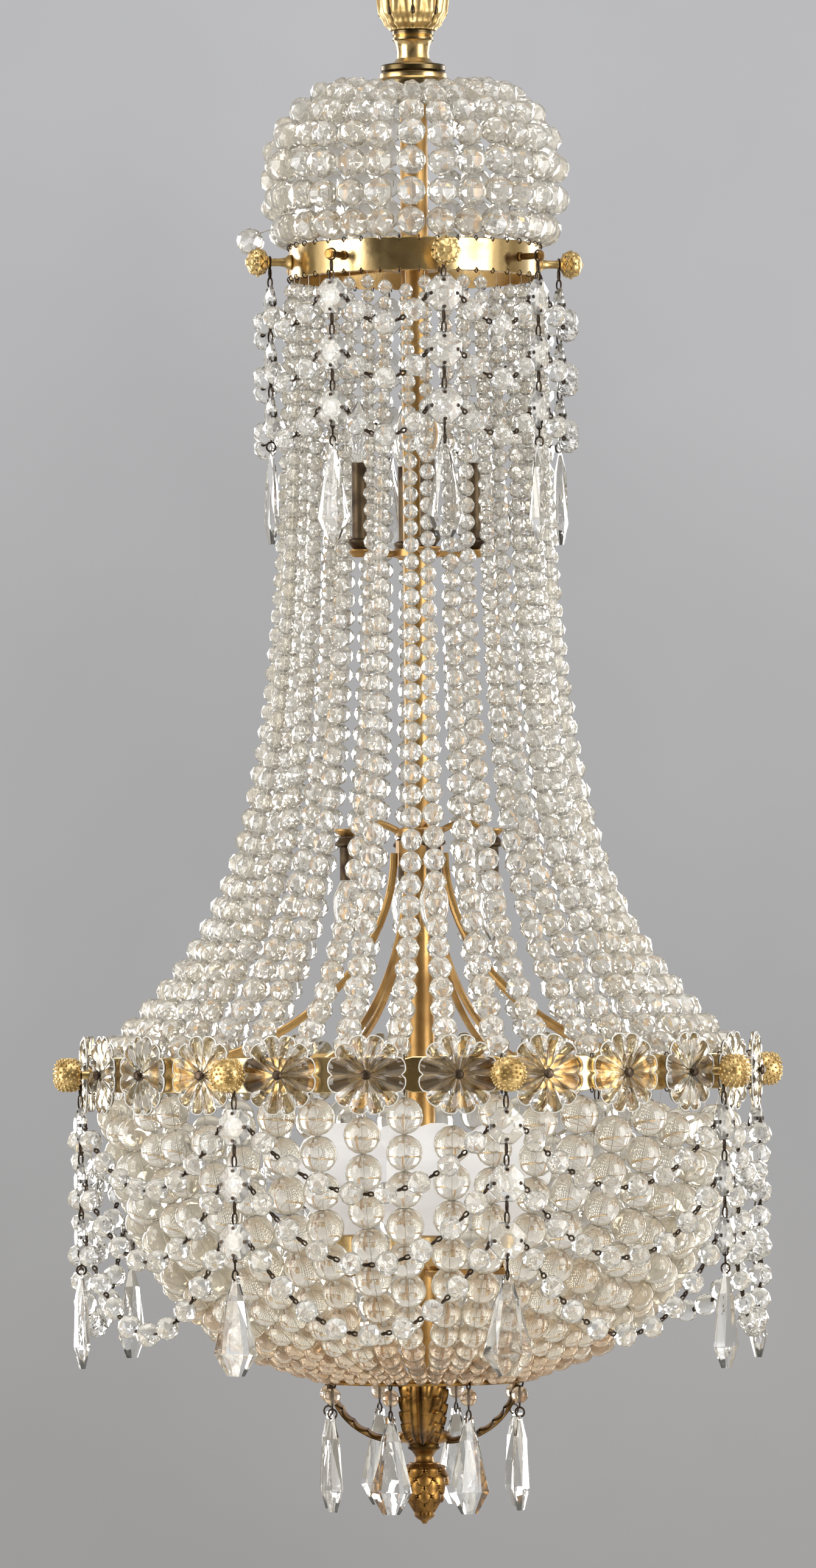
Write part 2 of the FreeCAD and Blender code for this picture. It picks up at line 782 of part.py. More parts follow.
def leaf_bracket():
    """Four serrated leaf straps that curve from a hub up to the bottom ring."""
    hub_low = s.bracket_hub_height.value - s.bracket_hub_thickness.value
    start = s.bracket_hub_radius.value - 4
    inner = (s.bottom_ring_radius.value - s.bottom_ring_section.value) * math.cos(math.pi / SMALL_RING_FLATS)
    end_width = s.bracket_strap_width.value * 0.55
    end = math.sqrt(inner ** 2 - (end_width / 2) ** 2)
    end -= s.seat_gap.value + s.bracket_strap_thickness.value / 2
    low = hub_low + s.bracket_strap_thickness.value / 2
    high = s.bottom_ring_height.value + s.bottom_ring_section.value / 2
    width = s.bracket_strap_width.value
    thick = s.bracket_strap_thickness.value
    teeth = 4
    path = []
    for i in range(2 * teeth + 1):
        share = i / (2 * teeth)
        angle = math.radians(90 * share)
        radius = start + (end - start) * math.sin(angle)
        height = low + (high - low) * (1 - math.cos(angle))
        leaf = end_width + (width - end_width) * math.sin(math.pi * min(1.0, share * 1.3))
        if i % 2:
            leaf *= 0.8
        path.append((radius, height, thick, leaf))
    strap = bar(path, start_out=(0, 1), end_out=(-1, 0))
    hub_sides = 16
    hub = facet_loft([
        [FreeCAD.Vector(r * math.cos(2 * math.pi * i / hub_sides),
                        r * math.sin(2 * math.pi * i / hub_sides), z) for i in range(hub_sides)]
        for r, z in ((0.7 * s.bracket_hub_radius.value, hub_low),
                     (s.bracket_hub_radius.value, hub_low + 2),
                     (s.bracket_hub_radius.value, s.bracket_hub_height.value - s.seat_gap.value))])
    straps = turned_copies(strap, STRAPS)
    new_feature("leaf_bracket", [hub.fuse(straps).removeSplitter()], s.bracket_phase)


def bottom_finial():
    """A pinecone: its scales come from grooves that swap places from one level to the next."""
    top = s.bracket_hub_height.value - s.bracket_hub_thickness.value
    length = s.finial_length.value
    radius = s.finial_radius.value
    neck = s.finial_neck_radius.value
    profile = (
        (0.0, 1.8 * neck, 0.0), (0.07, 1.8 * neck, 0.0), (0.16, neck, 0.0),
        (0.24, 0.7 * radius, 0.12), (0.36, radius, -0.12), (0.5, radius, 0.12),
        (0.66, 0.85 * radius, -0.12), (0.82, 0.58 * radius, 0.12), (1.0, 0.12 * radius, 0.0),
    )
    sections = []
    for share, reach, scale in profile:
        outline = polygon_at(16, reach * (1 + scale / 2), top - length * share, reach * scale)
        sections.append(outline)
    new_feature("bottom_finial", [facet_loft(sections)], s.bracket_phase)


# ---------------------------------------------------------------- drops, swags and prisms

def octagon(x, y, width):
    corner = width * OCTAGON_CORNER / 2
    half = width / 2
    pairs = ((half, -corner), (half, corner), (corner, half), (-corner, half),
             (-half, corner), (-half, -corner), (-corner, -half), (corner, -half))
    return [(x + a, y + b) for a, b in pairs]


def drop_crystals(label, radius, first, rows, turn):
    """Octagon crystals in chains of three, hung flat against the curtain."""
    body = new_body(label, turn)
    sketch = new_sketch(body, "YZ_Plane", radius - s.crystal_thickness / 2)
    for i in range(CRYSTALS_PER_DROP):
        draw_polygon(sketch, octagon(0, first - s.crystal_pitch * i, s.crystal_width))
    plates = pad(body, sketch, s.crystal_thickness)
    around(body, [plates], rows)


def square_bar(x, y, low, high, thick):
    half = thick / 2
    return facet_loft([[FreeCAD.Vector(x + a * half, y + b * half, z) for a, b in
                        ((1, -1), (1, 1), (-1, 1), (-1, -1))] for z in (low, high)])


def wire_loop(centre, radius, thick, across):
    """A closed eye of wire with square flats; across is the direction of its axis."""
    solids = []
    for reach in (radius + thick / 2, radius - thick / 2):
        corners = []
        for i in range(LOOP_FLATS):
            angle = 2 * math.pi * i / LOOP_FLATS
            a = reach / math.cos(math.pi / LOOP_FLATS) * math.cos(angle)
            b = reach / math.cos(math.pi / LOOP_FLATS) * math.sin(angle)
            if across == "radial":
                corners.append(centre + FreeCAD.Vector(-thick / 2, a, b))
            else:
                corners.append(centre + FreeCAD.Vector(a, -thick / 2, b))
        face = flat_face(corners)
        push = FreeCAD.Vector(thick, 0, 0) if across == "radial" else FreeCAD.Vector(0, thick, 0)
        solids.append(face.extrude(push))
    return solids[0].cut(solids[1])


def prism_hook(radius, carrier_low, loop_height):
    """A wire eye for a prism, with its shank up to what carries it."""
    wire = s.wire.value
    loop = wire_loop(FreeCAD.Vector(radius, 0, loop_height), s.prism_loop_radius.value, wire, "tangent")
    base = loop_height + s.prism_loop_radius.value
    shank = square_bar(radius, 0, base, carrier_low - s.seat_gap.value, wire)
    return loop.fuse(shank)


def drop_wires(label, radius, stem_height, first, rows, turn):
    """The hook over each stem, the links between crystals and the eye for each prism."""
    wire = s.wire.value
    half = s.crystal_width.value / 2
    reach = s.knob_stem_radius.value + s.seat_gap.value + wire / 2
    solids = []
    loop = wire_loop(FreeCAD.Vector(radius, 0, stem_height), reach, wire, "radial")
    shank = square_bar(radius, 0, first + half + s.seat_gap.value, stem_height - reach, wire)
    solids.append(loop.fuse(shank))
    for i in range(CRYSTALS_PER_DROP - 1):
        upper_edge = first - s.crystal_pitch.value * i - half
        lower_edge = first - s.crystal_pitch.value * (i + 1) + half
        solids.append(square_bar(radius, 0, lower_edge + s.seat_gap.value,
                                 upper_edge - s.seat_gap.value, wire))
    last_edge = first - s.crystal_pitch.value * (CRYSTALS_PER_DROP - 1) - half
    solids.append(prism_hook(radius, last_edge, last_edge - s.prism_drop.value))
    group = []
    for solid in solids:
        group += turned_copies(solid, rows)
    new_feature(label, group, turn)


def swags(label, radius, first, rows, sags, bulge, turn):
    """Swags of beads between neighbouring chains, one for each crystal of a chain."""
    bead = s.swag_bead.value
    half = s.crystal_width.value / 2 + s.seat_gap.value
    bay = math.radians(360.0 / rows)
    solids = []
    for level, sag in enumerate(sags):
        height = first - s.crystal_pitch.value * level
        start = FreeCAD.Vector(radius, half, height)
        end = FreeCAD.Vector(radius * math.cos(bay) + half * math.sin(bay),
                             radius * math.sin(bay) - half * math.cos(bay), height)
        steps = SWAG_STEPS
        places = []
        for i in range(steps + 1):
            share = i / steps
            dip = 4 * share * (1 - share)
            point = start + (end - start) * share
            out = FreeCAD.Vector(point.x, point.y, 0).normalize()
            places.append(point + out * bulge * dip - FreeCAD.Vector(0, 0, sag * dip))
        sections = []
        for i, place in enumerate(places):
            run = (places[min(i + 1, steps)] - places[max(i - 1, 0)]).normalize()
            if i == 0:
                run = FreeCAD.Vector(0, 1, 0)
            if i == steps:
                run = FreeCAD.Vector(-math.sin(bay), math.cos(bay), 0)
            out = FreeCAD.Vector(place.x, place.y, 0).normalize()
            side = run.cross(out).normalize()
            out = side.cross(run)
            size = bead * (0.12 if i in (0, steps) else 0.5)
            sections.append(section_corners(place, out, side, size, size, 3))
        solids += turned_copies(facet_loft(sections), rows)
    new_feature(label, solids, turn)


def prism(label, radius, loop_height, width, turn):
    """A drop prism: a drilled eye, long tapering facets and a cut foot."""
    hole = loop_height - s.prism_loop_radius.value
    half_wide = s.prism_hole_width.value / 2
    half_tall = s.prism_hole_height.value / 2
    top = hole + half_tall + s.prism_lip.value
    length = s.prism_length.value
    thick = s.prism_thickness.value
    eye = s.prism_eye_thickness.value / 2
    profile = (
        (top, s.prism_eye_width.value / 2, eye),
        (hole - 1.5 * half_tall, 0.6 * s.prism_eye_width.value, eye),
        (top - 0.26 * length, 0.24 * width, 0.45 * thick),
        (top - 0.78 * length, 0.5 * width, 0.5 * thick),
        (top - length, 0.2 * width, 0.2 * thick),
    )
    sections = []
    for height, wide, deep in profile:
        shape = ((0, 1), (-1, 0.5), (-1, -0.5), (0, -1), (1, -0.5), (1, 0.5))
        sections.append([FreeCAD.Vector(radius + a * deep, b * wide, height) for a, b in shape])
    square = ((1, 1), (-1, 1), (-1, -1), (1, -1))
    hole_outline = [FreeCAD.Vector(radius - thick, a * half_wide, hole + b * half_tall)
                    for a, b in square]
    bore = flat_face(hole_outline).extrude(FreeCAD.Vector(2 * thick, 0, 0))
    new_feature(label, [facet_loft(sections).cut(bore)], turn)


def row_of_prisms(prefix, radius, loop_height, width, rows, turn):
    for i in range(rows):
        prism(prefix + "_" + str(i + 1), radius, loop_height, width, turn + 360.0 / rows * i)


def bottom_drop_hooks():
    """Wire eyes under the bottom ring, each with the small bead above its prism."""
    radius = s.bottom_ring_radius.value - s.bottom_ring_section.value / 2
    edge = s.bottom_ring_height.value - s.bottom_ring_section.value / 2
    hook = prism_hook(radius, edge, bottom_loop_height())
    bead = upright_turning(radius, ((edge - 12, 2.0), (edge - 7, 5.0), (edge - 2, 2.0)), 4)
    new_feature("bottom_drop_hooks", turned_copies(hook.fuse(bead), BOTTOM_ROWS), s.bottom_phase)


def bottom_loop_height():
    edge = s.bottom_ring_height.value - s.bottom_ring_section.value / 2
    return edge - 2 * s.prism_drop.value


def last_loop_height(first):
    last_edge = first - s.crystal_pitch.value * (CRYSTALS_PER_DROP - 1) - s.crystal_width.value / 2
    return last_edge - s.prism_drop.value


def drops():
    upper_first = s.upper_ring_height - s.upper_first_crystal
    lower_first = -s.lower_first_crystal
    lower_sags = [s.lower_swag_sag.value + s.swag_sag_growth.value * level
                  for level in range(CRYSTALS_PER_DROP)]
    drop_crystals("upper_drop_crystals", s.upper_drop_radius, upper_first, UPPER_ROWS, s.upper_phase)
    drop_crystals("lower_drop_crystals", s.lower_drop_radius, lower_first, LOWER_ROWS, s.lower_phase)
    drop_wires("upper_drop_wires", s.upper_drop_radius.value, s.upper_ring_height.value,
               upper_first.value, UPPER_ROWS, s.upper_phase)
    drop_wires("lower_drop_wires", s.lower_drop_radius.value, 0.0,
               lower_first.value, LOWER_ROWS, s.lower_phase)
    swags("upper_swags", s.upper_drop_radius.value, upper_first.value, UPPER_ROWS,
          [s.upper_swag_sag.value] * CRYSTALS_PER_DROP, s.upper_swag_bulge.value, s.upper_phase)
    swags("lower_swags", s.lower_drop_radius.value, lower_first.value, LOWER_ROWS,
          lower_sags, s.lower_swag_bulge.value, s.lower_phase)
    row_of_prisms("upper_prism", s.upper_drop_radius.value, last_loop_height(upper_first.value),
                  s.upper_prism_width.value, UPPER_ROWS, s.upper_phase)
    row_of_prisms("lower_prism", s.lower_drop_radius.value, last_loop_height(lower_first.value),
                  s.lower_prism_width.value, LOWER_ROWS, s.lower_phase)
    row_of_prisms("bottom_prism", s.bottom_ring_radius.value - s.bottom_ring_section.value / 2,
                  bottom_loop_height(), s.bottom_prism_width.value, BOTTOM_ROWS, s.bottom_phase)


# ---------------------------------------------------------------- the whole object

hanging_eye()
acanthus_cup()
neck_baluster()
crown_canopy()
column_tube()
upper_ring()
upper_ring_knobs()
upper_ring_pins()
upper_ring_spider()
lower_ring()
lower_ring_knobs()
rosettes()
rosette_pins()
ring_stays()
stay_hub()
lamp_arms("upper_lamp_arms", s.upper_lamp_height, s.upper_lamp_radius, s.upper_phase)
lamp_arms("middle_lamp_arms", s.middle_hub_height + s.arm_thickness * 1.5, s.middle_lamp_radius,
          s.upper_phase)
lamp_arms("basket_lamp_arms", s.basket_lamp_height, s.basket_lamp_radius, s.upper_phase)
candle_sockets()
candle_bulbs()
basket_sockets()
basket_bulbs()
crown_strings()
body_strings()
basket_strings()
bottom_ring()
leaf_bracket()
bottom_finial()
bottom_drop_hooks()
drops()
doc.recompute()

failed = [item.Label for item in doc.Objects if {"Invalid", "Error"} & set(item.State)]
if failed:
    raise RuntimeError("objects that failed: " + ", ".join(failed))
for piece in parts:
    if piece.Shape.isNull() or not piece.Shape.isValid() or not piece.Shape.Solids:
        raise RuntimeError(piece.Label + " has no valid shape")
os.makedirs("parts", exist_ok=True)
for piece in parts:
    piece.Shape.exportStep("parts/" + piece.Label + ".step")
print(len(parts), "nodes,", sum(len(piece.Shape.Solids) for piece in parts), "solids")
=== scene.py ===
import math
import random

import bpy
from mathutils import Matrix, Vector


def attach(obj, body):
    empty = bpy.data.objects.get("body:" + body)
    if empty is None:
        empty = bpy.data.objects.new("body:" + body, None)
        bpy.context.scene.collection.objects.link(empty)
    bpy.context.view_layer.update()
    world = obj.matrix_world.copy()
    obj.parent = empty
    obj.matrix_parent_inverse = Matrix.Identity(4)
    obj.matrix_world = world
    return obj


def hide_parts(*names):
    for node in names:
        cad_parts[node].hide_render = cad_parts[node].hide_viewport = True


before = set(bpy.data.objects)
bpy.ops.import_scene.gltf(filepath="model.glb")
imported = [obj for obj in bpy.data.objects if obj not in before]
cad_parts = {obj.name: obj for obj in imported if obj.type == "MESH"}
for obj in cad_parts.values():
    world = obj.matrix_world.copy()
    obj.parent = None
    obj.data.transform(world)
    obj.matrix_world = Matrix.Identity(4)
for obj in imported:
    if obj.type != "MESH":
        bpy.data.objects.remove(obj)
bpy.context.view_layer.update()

MM = 0.001
BODY = "frame"
QUARTER_X = Matrix.Rotation(math.pi / 2, 4, "X")
QUARTER_Y = Matrix.Rotation(math.pi / 2, 4, "Y")
GOLDEN_ANGLE = 2.39996
chance = random.Random(11)

# Angles that the groups start from
UPPER_PHASE = 11.0
LOWER_PHASE = 13.5
BRACKET_PHASE = -2.0
BOTTOM_PHASE = 26.0

# Levels above the lower ring; HANG is the frame's origin, where the chandelier hangs
HANG = 825.0
NECK_TOP = 754.0
CANOPY_TOP = 723.0
CANOPY_LOW = 711.0
UPPER_RING = 585.0
BOTTOM_RING = -222.0
HUB_LOW = -268.0

# Rings
UPPER_RADIUS = 91.0
UPPER_WIDTH = 24.0
UPPER_WALL = 3.0
LOWER_RADIUS = 240.0
LOWER_WIDTH = 25.0
LOWER_WALL = 4.0
BOTTOM_RADIUS = 73.0

# Lamps
ARM_START = 14.0
UPPER_LAMP_HEIGHT = 375.0
UPPER_LAMP_RADIUS = 42.0
MIDDLE_LAMP_HEIGHT = 173.0
MIDDLE_LAMP_RADIUS = 53.0
BASKET_LAMP_HEIGHT = -144.0
BASKET_LAMP_RADIUS = 58.0

# Drops
UPPER_DROP = 106.5
LOWER_DROP = 251.0
PITCH = 40.0
CRYSTAL = 26.0
FIRST_UPPER = UPPER_RING - 30.0
FIRST_LOWER = -36.0
DROP_TO_LOOP = 10.5
LOOP = 3.4
WIRE = 0.7
THREAD = 0.18
SWAG_BEAD = 17.0


# ---- places and shapes

def polar(radius, turn, height):
    """A point round the Z axis, at an angle in radians."""
    return (radius * math.cos(turn), radius * math.sin(turn), height)


def turns(count):
    """Even angles all round, in radians."""
    return [2 * math.pi * i / count for i in range(count)]


def spot(radius, angle, height):
    """A point of the frame, in metres."""
    return Vector(polar(radius, math.radians(angle), height - HANG)) * MM


def standing(radius, angle, height):
    """A frame whose X points away from the column and whose Z points up; it takes millimetres."""
    turn = Matrix.Rotation(math.radians(angle), 4, "Z")
    return Matrix.Translation(spot(radius, angle, height)) @ turn @ Matrix.Scale(MM, 4)


def outward(radius, angle, height):
    """As standing(), but with Z away from the column and X down."""
    return standing(radius, angle, height) @ QUARTER_Y


def upright(radius, angle, height):
    """As standing(), but with Z level, so that a ring on Z hangs like a chain's link."""
    return standing(radius, angle, height) @ QUARTER_X


def along(place, direction, size, spin=0.0):
    """A frame with Z along a direction, scaled to a size in millimetres."""
    turn = direction.to_track_quat("Z", "Y").to_matrix().to_4x4()
    return (Matrix.Translation(place) @ turn @ Matrix.Rotation(spin, 4, "Z")
            @ Matrix.Scale(size * MM, 4))


class Shape:
    """Points and faces that are gathered into one mesh, with a tint for each face."""

    def __init__(self):
        self.points = []
        self.faces = []
        self.tints = []

    def add(self, other, matrix=Matrix(), tint=0.5):
        start = len(self.points)
        self.points.extend(matrix @ point for point in other.points)
        self.tints.extend([0.5] * (len(self.faces) - len(self.tints)))
        self.tints.extend(other.tints or [tint] * len(other.faces))
        self.faces.extend(tuple(start + i for i in face) for face in other.faces)
        return self


def strips(sections):
    """A closed skin through matching outlines, which may end in single points."""
    shape = Shape()
    rows = []
    for section in sections:
        rows.append(range(len(shape.points), len(shape.points) + len(section)))
        shape.points.extend(Vector(point) for point in section)
    for near, far in zip(rows, rows[1:]):
        count = max(len(near), len(far))
        for i in range(count):
            j = (i + 1) % count
            if len(near) == 1:
                shape.faces.append((near[0], far[j], far[i]))
            elif len(far) == 1:
                shape.faces.append((near[i], near[j], far[0]))
            else:
                shape.faces.append((near[i], near[j], far[j], far[i]))
    if len(rows[0]) > 2:
        shape.faces.append(tuple(reversed(rows[0])))
    if len(rows[-1]) > 2:
        shape.faces.append(tuple(rows[-1]))
    return shape


def closed_loop(sections):
    """A skin round a closed loop of matching closed outlines."""
    shape = Shape()
    count = len(sections[0])
    for section in sections:
        shape.points.extend(Vector(point) for point in section)
    for i in range(len(sections)):
        a, b = i * count, (i + 1) % len(sections) * count
        for j in range(count):
            k = (j + 1) % count
            shape.faces.append((a + j, b + j, b + k, a + k))
    return shape


def circle(radius, height, sides, twist=0.0):
    """The corners of a level circle, turned by a share of the step between them."""
    return [polar(radius, 2 * math.pi * (i + twist) / sides, height) for i in range(sides)]


def lathe(profile, sides):
    """A turning on Z through (radius, height) stations; a radius of 0 makes a point."""
    return strips([[(0, 0, height)] if radius == 0 else circle(radius, height, sides)
                   for radius, height in profile])


def ring(profile, sides):
    """A ring on Z whose section is a closed outline of (radius, height)."""
    return closed_loop([[polar(radius, turn, height) for radius, height in profile]
                        for turn in turns(sides)])


def torus(radius, thick, sides, section=6):
    """A ring of round wire on Z; thick is the radius of the wire."""
    return ring([(radius + thick * math.cos(turn), thick * math.sin(turn))
                 for turn in turns(section)], sides)


def grown(function, rows, sides):
    """A turning whose radius also depends on the angle: function(share along, share round)."""
    sections = []
    for i in range(rows + 1):
        section = []
        for j, turn in enumerate(turns(sides)):
            radius, height = function(i / rows, j / sides)
            section.append(polar(radius, turn, height))
        sections.append(section)
    return strips(sections)


def tube(points, radius, sides):
    """A round bar along a path of points."""
    sections = []
    last = len(points) - 1
    for i, point in enumerate(points):
        run = points[min(i + 1, last)] - points[max(i - 1, 0)]
        turn = run.to_track_quat("Z", "Y")
        sections.append([point + turn @ Vector(corner) for corner in circle(radius, 0, sides)])
    return strips(sections)


def smooth_path(stations, steps=10):
    """A smooth curve through stations, each a tuple of numbers."""
    path = []
    ends = [stations[0]] + list(stations) + [stations[-1]]
    for i in range(1, len(ends) - 2):
        a, b, c, d = ends[i - 1:i + 3]
        for k in range(steps):
            t = k / steps
            path.append(tuple(
                0.5 * (2 * q + (r - p) * t + (2 * p - 5 * q + 4 * r - s) * t * t
                       + (3 * q - p - 3 * r + s) * t ** 3)
                for p, q, r, s in zip(a, b, c, d)))
    path.append(tuple(stations[-1]))
    return path


def profile_at(stations, share):
    """The radius at a share of a list of (share, radius) stations, smoothed between them."""
    for (low, a), (high, b) in zip(stations, stations[1:]):
        if share <= high:
            t = (share - low) / (high - low)
            return a + (b - a) * t * t * (3 - 2 * t)
    return stations[-1][1]


# ---- materials

def material(name):
    made = bpy.data.materials.new(name)
    made.use_nodes = True
    nodes = made.node_tree.nodes
    return made, nodes, made.node_tree.links, nodes["Principled BSDF"]


def noise(nodes, links, scale, detail=4.0, space="Object"):
    """Noise in the object's own space, or another, as a share from 0 to 1."""
    texture = nodes.new("ShaderNodeTexNoise")
    texture.inputs["Scale"].default_value = scale
    texture.inputs["Detail"].default_value = detail
    place = nodes.new("ShaderNodeTexCoord")
    links.new(place.outputs[space], texture.inputs["Vector"])
    return texture.outputs["Fac"]


def share_of(nodes, links, vector, axis, low, high):
    """How far one part of a vector is from low to high, as a share from 0 to 1."""
    split = nodes.new("ShaderNodeSeparateXYZ")
    links.new(vector, split.inputs[0])
    share = nodes.new("ShaderNodeMapRange")
    share.inputs["From Min"].default_value = low
    share.inputs["From Max"].default_value = high
    links.new(split.outputs[axis], share.inputs["Value"])
    return share.outputs["Result"]


def ramp(nodes, links, source, stops):
    """The colour of a share, from (place, colour) stops."""
    made = nodes.new("ShaderNodeValToRGB")
    colours = made.color_ramp.elements
    while len(colours) < len(stops):
        colours.new(0.5)
    for stop, (place, colour) in zip(colours, stops):
        stop.position = place
        stop.color = (*colour, 1.0)
    links.new(source, made.inputs["Fac"])
    return made.outputs["Color"]


def multiply(nodes, links, first, second):
    made = nodes.new("ShaderNodeMix")
    made.data_type = "RGBA"
    made.blend_type = "MULTIPLY"
    made.inputs["Factor"].default_value = 1.0
    links.new(first, made.inputs["A"])
    links.new(second, made.inputs["B"])
    return made.outputs["Result"]


def bump(nodes, links, source, shader, strength, distance):
    made = nodes.new("ShaderNodeBump")
    made.inputs["Strength"].default_value = strength
    made.inputs["Distance"].default_value = distance
    links.new(source, made.inputs["Height"])
    links.new(made.outputs["Normal"], shader.inputs["Normal"])


def grey(value):
    return (value, value, value)


def metal(name, bright, dark, rough, grain, relief):
    """A metal in patches of a bright and a dark colour, darker in its hollows with patina and
    painted shade; rough is (least, most), grain the scale of the patches and relief the
    strength of its bumps."""
    made, nodes, links, shader = material(name)
    shader.inputs["Metallic"].default_value = 1.0
    patches = noise(nodes, links, grain, 6.0)
    # Patina patches times the hollows, which are darkened partly by patina and partly by painted
    # shade.
    patina_and_shade_hollows = nodes.new("ShaderNodeNewGeometry").outputs["Pointiness"]
    worn = multiply(nodes, links, ramp(nodes, links, patches, ((0.36, dark), (0.56, bright))),
                    ramp(nodes, links, patina_and_shade_hollows, ((0.45, grey(0.2)), (0.495, grey(1.0)))))
    links.new(worn, shader.inputs["Base Color"])
    low, high = rough
    links.new(ramp(nodes, links, patches, ((0.35, grey(high)), (0.62, grey(low)))),
              shader.inputs["Roughness"])
    bump(nodes, links, noise(nodes, links, grain * 6, 3.0), shader, relief, 0.0004)
    return made


# Painted shade: the colour that glass is darkened to at its rims.
RIM_SHADE = (0.50, 0.46, 0.37)
BEIGE = (0.82, 0.66, 0.49)


def glass(name, clear, cream, body, rough):
    """Glass that goes from clear to cream and beige with its tint and is darkened towards its rims
    by painted shade; body is how much light it lets through and rough is (least, most)."""
    made, nodes, links, shader = material(name)
    shader.inputs["IOR"].default_value = 1.5
    shader.inputs["Transmission Weight"].default_value = body
    tint = nodes.new("ShaderNodeAttribute")
    tint.attribute_name = "tint"
    warmth = ramp(nodes, links, tint.outputs["Fac"], ((0.15, clear), (0.7, cream), (1.0, BEIGE)))
    # Painted shade towards the rims, where the view grazes the glass.
    edge = nodes.new("ShaderNodeLayerWeight")
    edge.inputs["Blend"].default_value = 0.45
    rim = ramp(nodes, links, edge.outputs["Facing"], ((0.4, grey(1.0)), (0.9, RIM_SHADE)))
    links.new(multiply(nodes, links, warmth, rim), shader.inputs["Base Color"])
    low, high = rough
    links.new(ramp(nodes, links, noise(nodes, links, 220.0), ((0.4, grey(low)), (0.7, grey(high)))),
              shader.inputs["Roughness"])
    bump(nodes, links, noise(nodes, links, 140.0, 2.0), shader, 0.12, 0.0006)
    return made


gilt = metal("gilt_brass", (0.70, 0.52, 0.26), (0.46, 0.31, 0.13), (0.16, 0.32), 38.0, 0.12)
matt_gilt = metal("matt_gilt", (0.66, 0.48, 0.22), (0.36, 0.24, 0.09), (0.32, 0.48), 90.0, 0.3)
old_brass = metal("old_brass", (0.52, 0.32, 0.12), (0.30, 0.17, 0.06), (0.25, 0.45), 30.0, 0.2)
bronze = metal("aged_bronze", (0.37, 0.20, 0.055), (0.12, 0.06, 0.018), (0.28, 0.5), 60.0, 0.25)
wire_metal = metal("bronze_wire", (0.07, 0.05, 0.035), (0.03, 0.02, 0.015), (0.45, 0.6), 300.0, 0.2)
thread_metal = metal("bead_wire", (0.62, 0.58, 0.50), (0.36, 0.33, 0.28), (0.35, 0.5), 300.0, 0.1)
# Dark metal for the rosettes' pin heads, also used for painted shade in the cup's grooves.
pin_metal = metal("pin_metal", (0.10, 0.07, 0.05), (0.04, 0.03, 0.02), (0.35, 0.5), 300.0, 0.2)
tube_metal = metal("candle_tube", (0.14, 0.10, 0.06), (0.06, 0.04, 0.03), (0.4, 0.6), 60.0, 0.2)
bead_glass = glass("bead_glass", (0.97, 0.96, 0.93), (0.94, 0.90, 0.82), 0.82, (0.01, 0.06))
basket_glass = glass("basket_glass", (0.95, 0.93, 0.88), (0.90, 0.85, 0.75), 0.84, (0.01, 0.06))
prism_glass = glass("prism_glass", (0.89, 0.88, 0.86), (0.89, 0.88, 0.86), 0.96, (0.0, 0.03))
swag_glass = glass("swag_glass", (1.0, 1.0, 0.99), (0.98, 0.97, 0.93), 0.84, (0.0, 0.04))
# The flower glass's second colour, a dark khaki, is painted shade for one side of each petal.
flower_glass = glass("flower_glass", (0.98, 0.97, 0.94), (0.48, 0.38, 0.22), 0.95, (0.01, 0.05))
# Milky white glass for the rosettes' rims: a painted highlight for the light their edges reflect.
rim_highlight_glass = glass("rim_highlight_glass", (1.0, 1.0, 0.98), (1.0, 1.0, 0.98), 0.45, (0.05, 0.15))
bulb_glass = glass("bulb_glass", (0.97, 0.96, 0.95), (0.95, 0.95, 0.94), 0.9, (0.02, 0.05))


def frosted():
    """Ground glass with a faint painted glow, which brightens the unlit bulbs."""
    made, nodes, links, shader = material("frosted_glass")
    cloud = noise(nodes, links, 30.0)
    links.new(ramp(nodes, links, cloud, ((0.3, (0.90, 0.90, 0.92)), (0.7, (0.96, 0.96, 0.96)))),
              shader.inputs["Base Color"])
    shader.inputs["Roughness"].default_value = 0.45
    shader.inputs["Transmission Weight"].default_value = 0.1
    # Painted glow: the bulbs are unlit, and this faint emission brightens them.
    shader.inputs["Emission Color"].default_value = (0.95, 0.95, 1.0, 1.0)
    shader.inputs["Emission Strength"].default_value = 0.15
    bump(nodes, links, noise(nodes, links, 900.0), shader, 0.1, 0.0002)
    return made


frosted_glass = frosted()


# ---- pieces

def put(name, data):
    """A new object of the scene."""
    piece = bpy.data.objects.new(name, data)
    bpy.context.scene.collection.objects.link(piece)
    return piece


def make(name, shape, finish, nodes=(), smooth=True, crease=32.0):
    """One piece of the dressed object: its mesh, finish, slot and the nodes that it replaces. Edges
    sharper than crease degrees stay sharp."""
    mesh = bpy.data.meshes.new(name)
    mesh.from_pydata([tuple(point) for point in shape.points], [], shape.faces)
    tints = shape.tints or [0.5] * len(shape.faces)
    mesh.attributes.new("tint", "FLOAT", "FACE").data.foreach_set("value", tints)
    mesh.validate()
    mesh.update()
    if smooth:
        mesh.shade_smooth()
        mesh.set_sharp_from_angle(angle=math.radians(crease))
    mesh.materials.append(finish)
    piece = put(name, mesh)
    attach(piece, BODY)
    if nodes:
        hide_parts(*nodes)


def at_level(shape, height, turn=0.0):
    """A shape made in millimetres, set on the column's axis."""
    return Shape().add(shape, standing(0, turn, height))


def copies(shape, count, radius, height, turn, place=standing):
    """Even copies round the column, from an angle on, each with a tint of its own."""
    group = Shape()
    for i in range(count):
        group.add(shape, place(radius, turn + 360.0 / count * i, height), 0.6 * chance.random())
    return group


# ---- top of the frame

def hanging_eye():
    section = [(16.5 + 4.5 * math.cos(turn), 4.0 * math.sin(turn)) for turn in turns(12)]
    eye = Shape().add(ring(section, 64), upright(0, 0, HANG))
    stem = lathe(((0, 0), (7.5, 0), (7.5, 1.5), (5.6, 2.6), (5.2, 8), (5.6, 10.2), (0, 10.2)), 32)
    eye.add(stem, standing(0, 0, 798))
    make("hanging_eye_ring", eye, gilt, ["hanging_eye"])


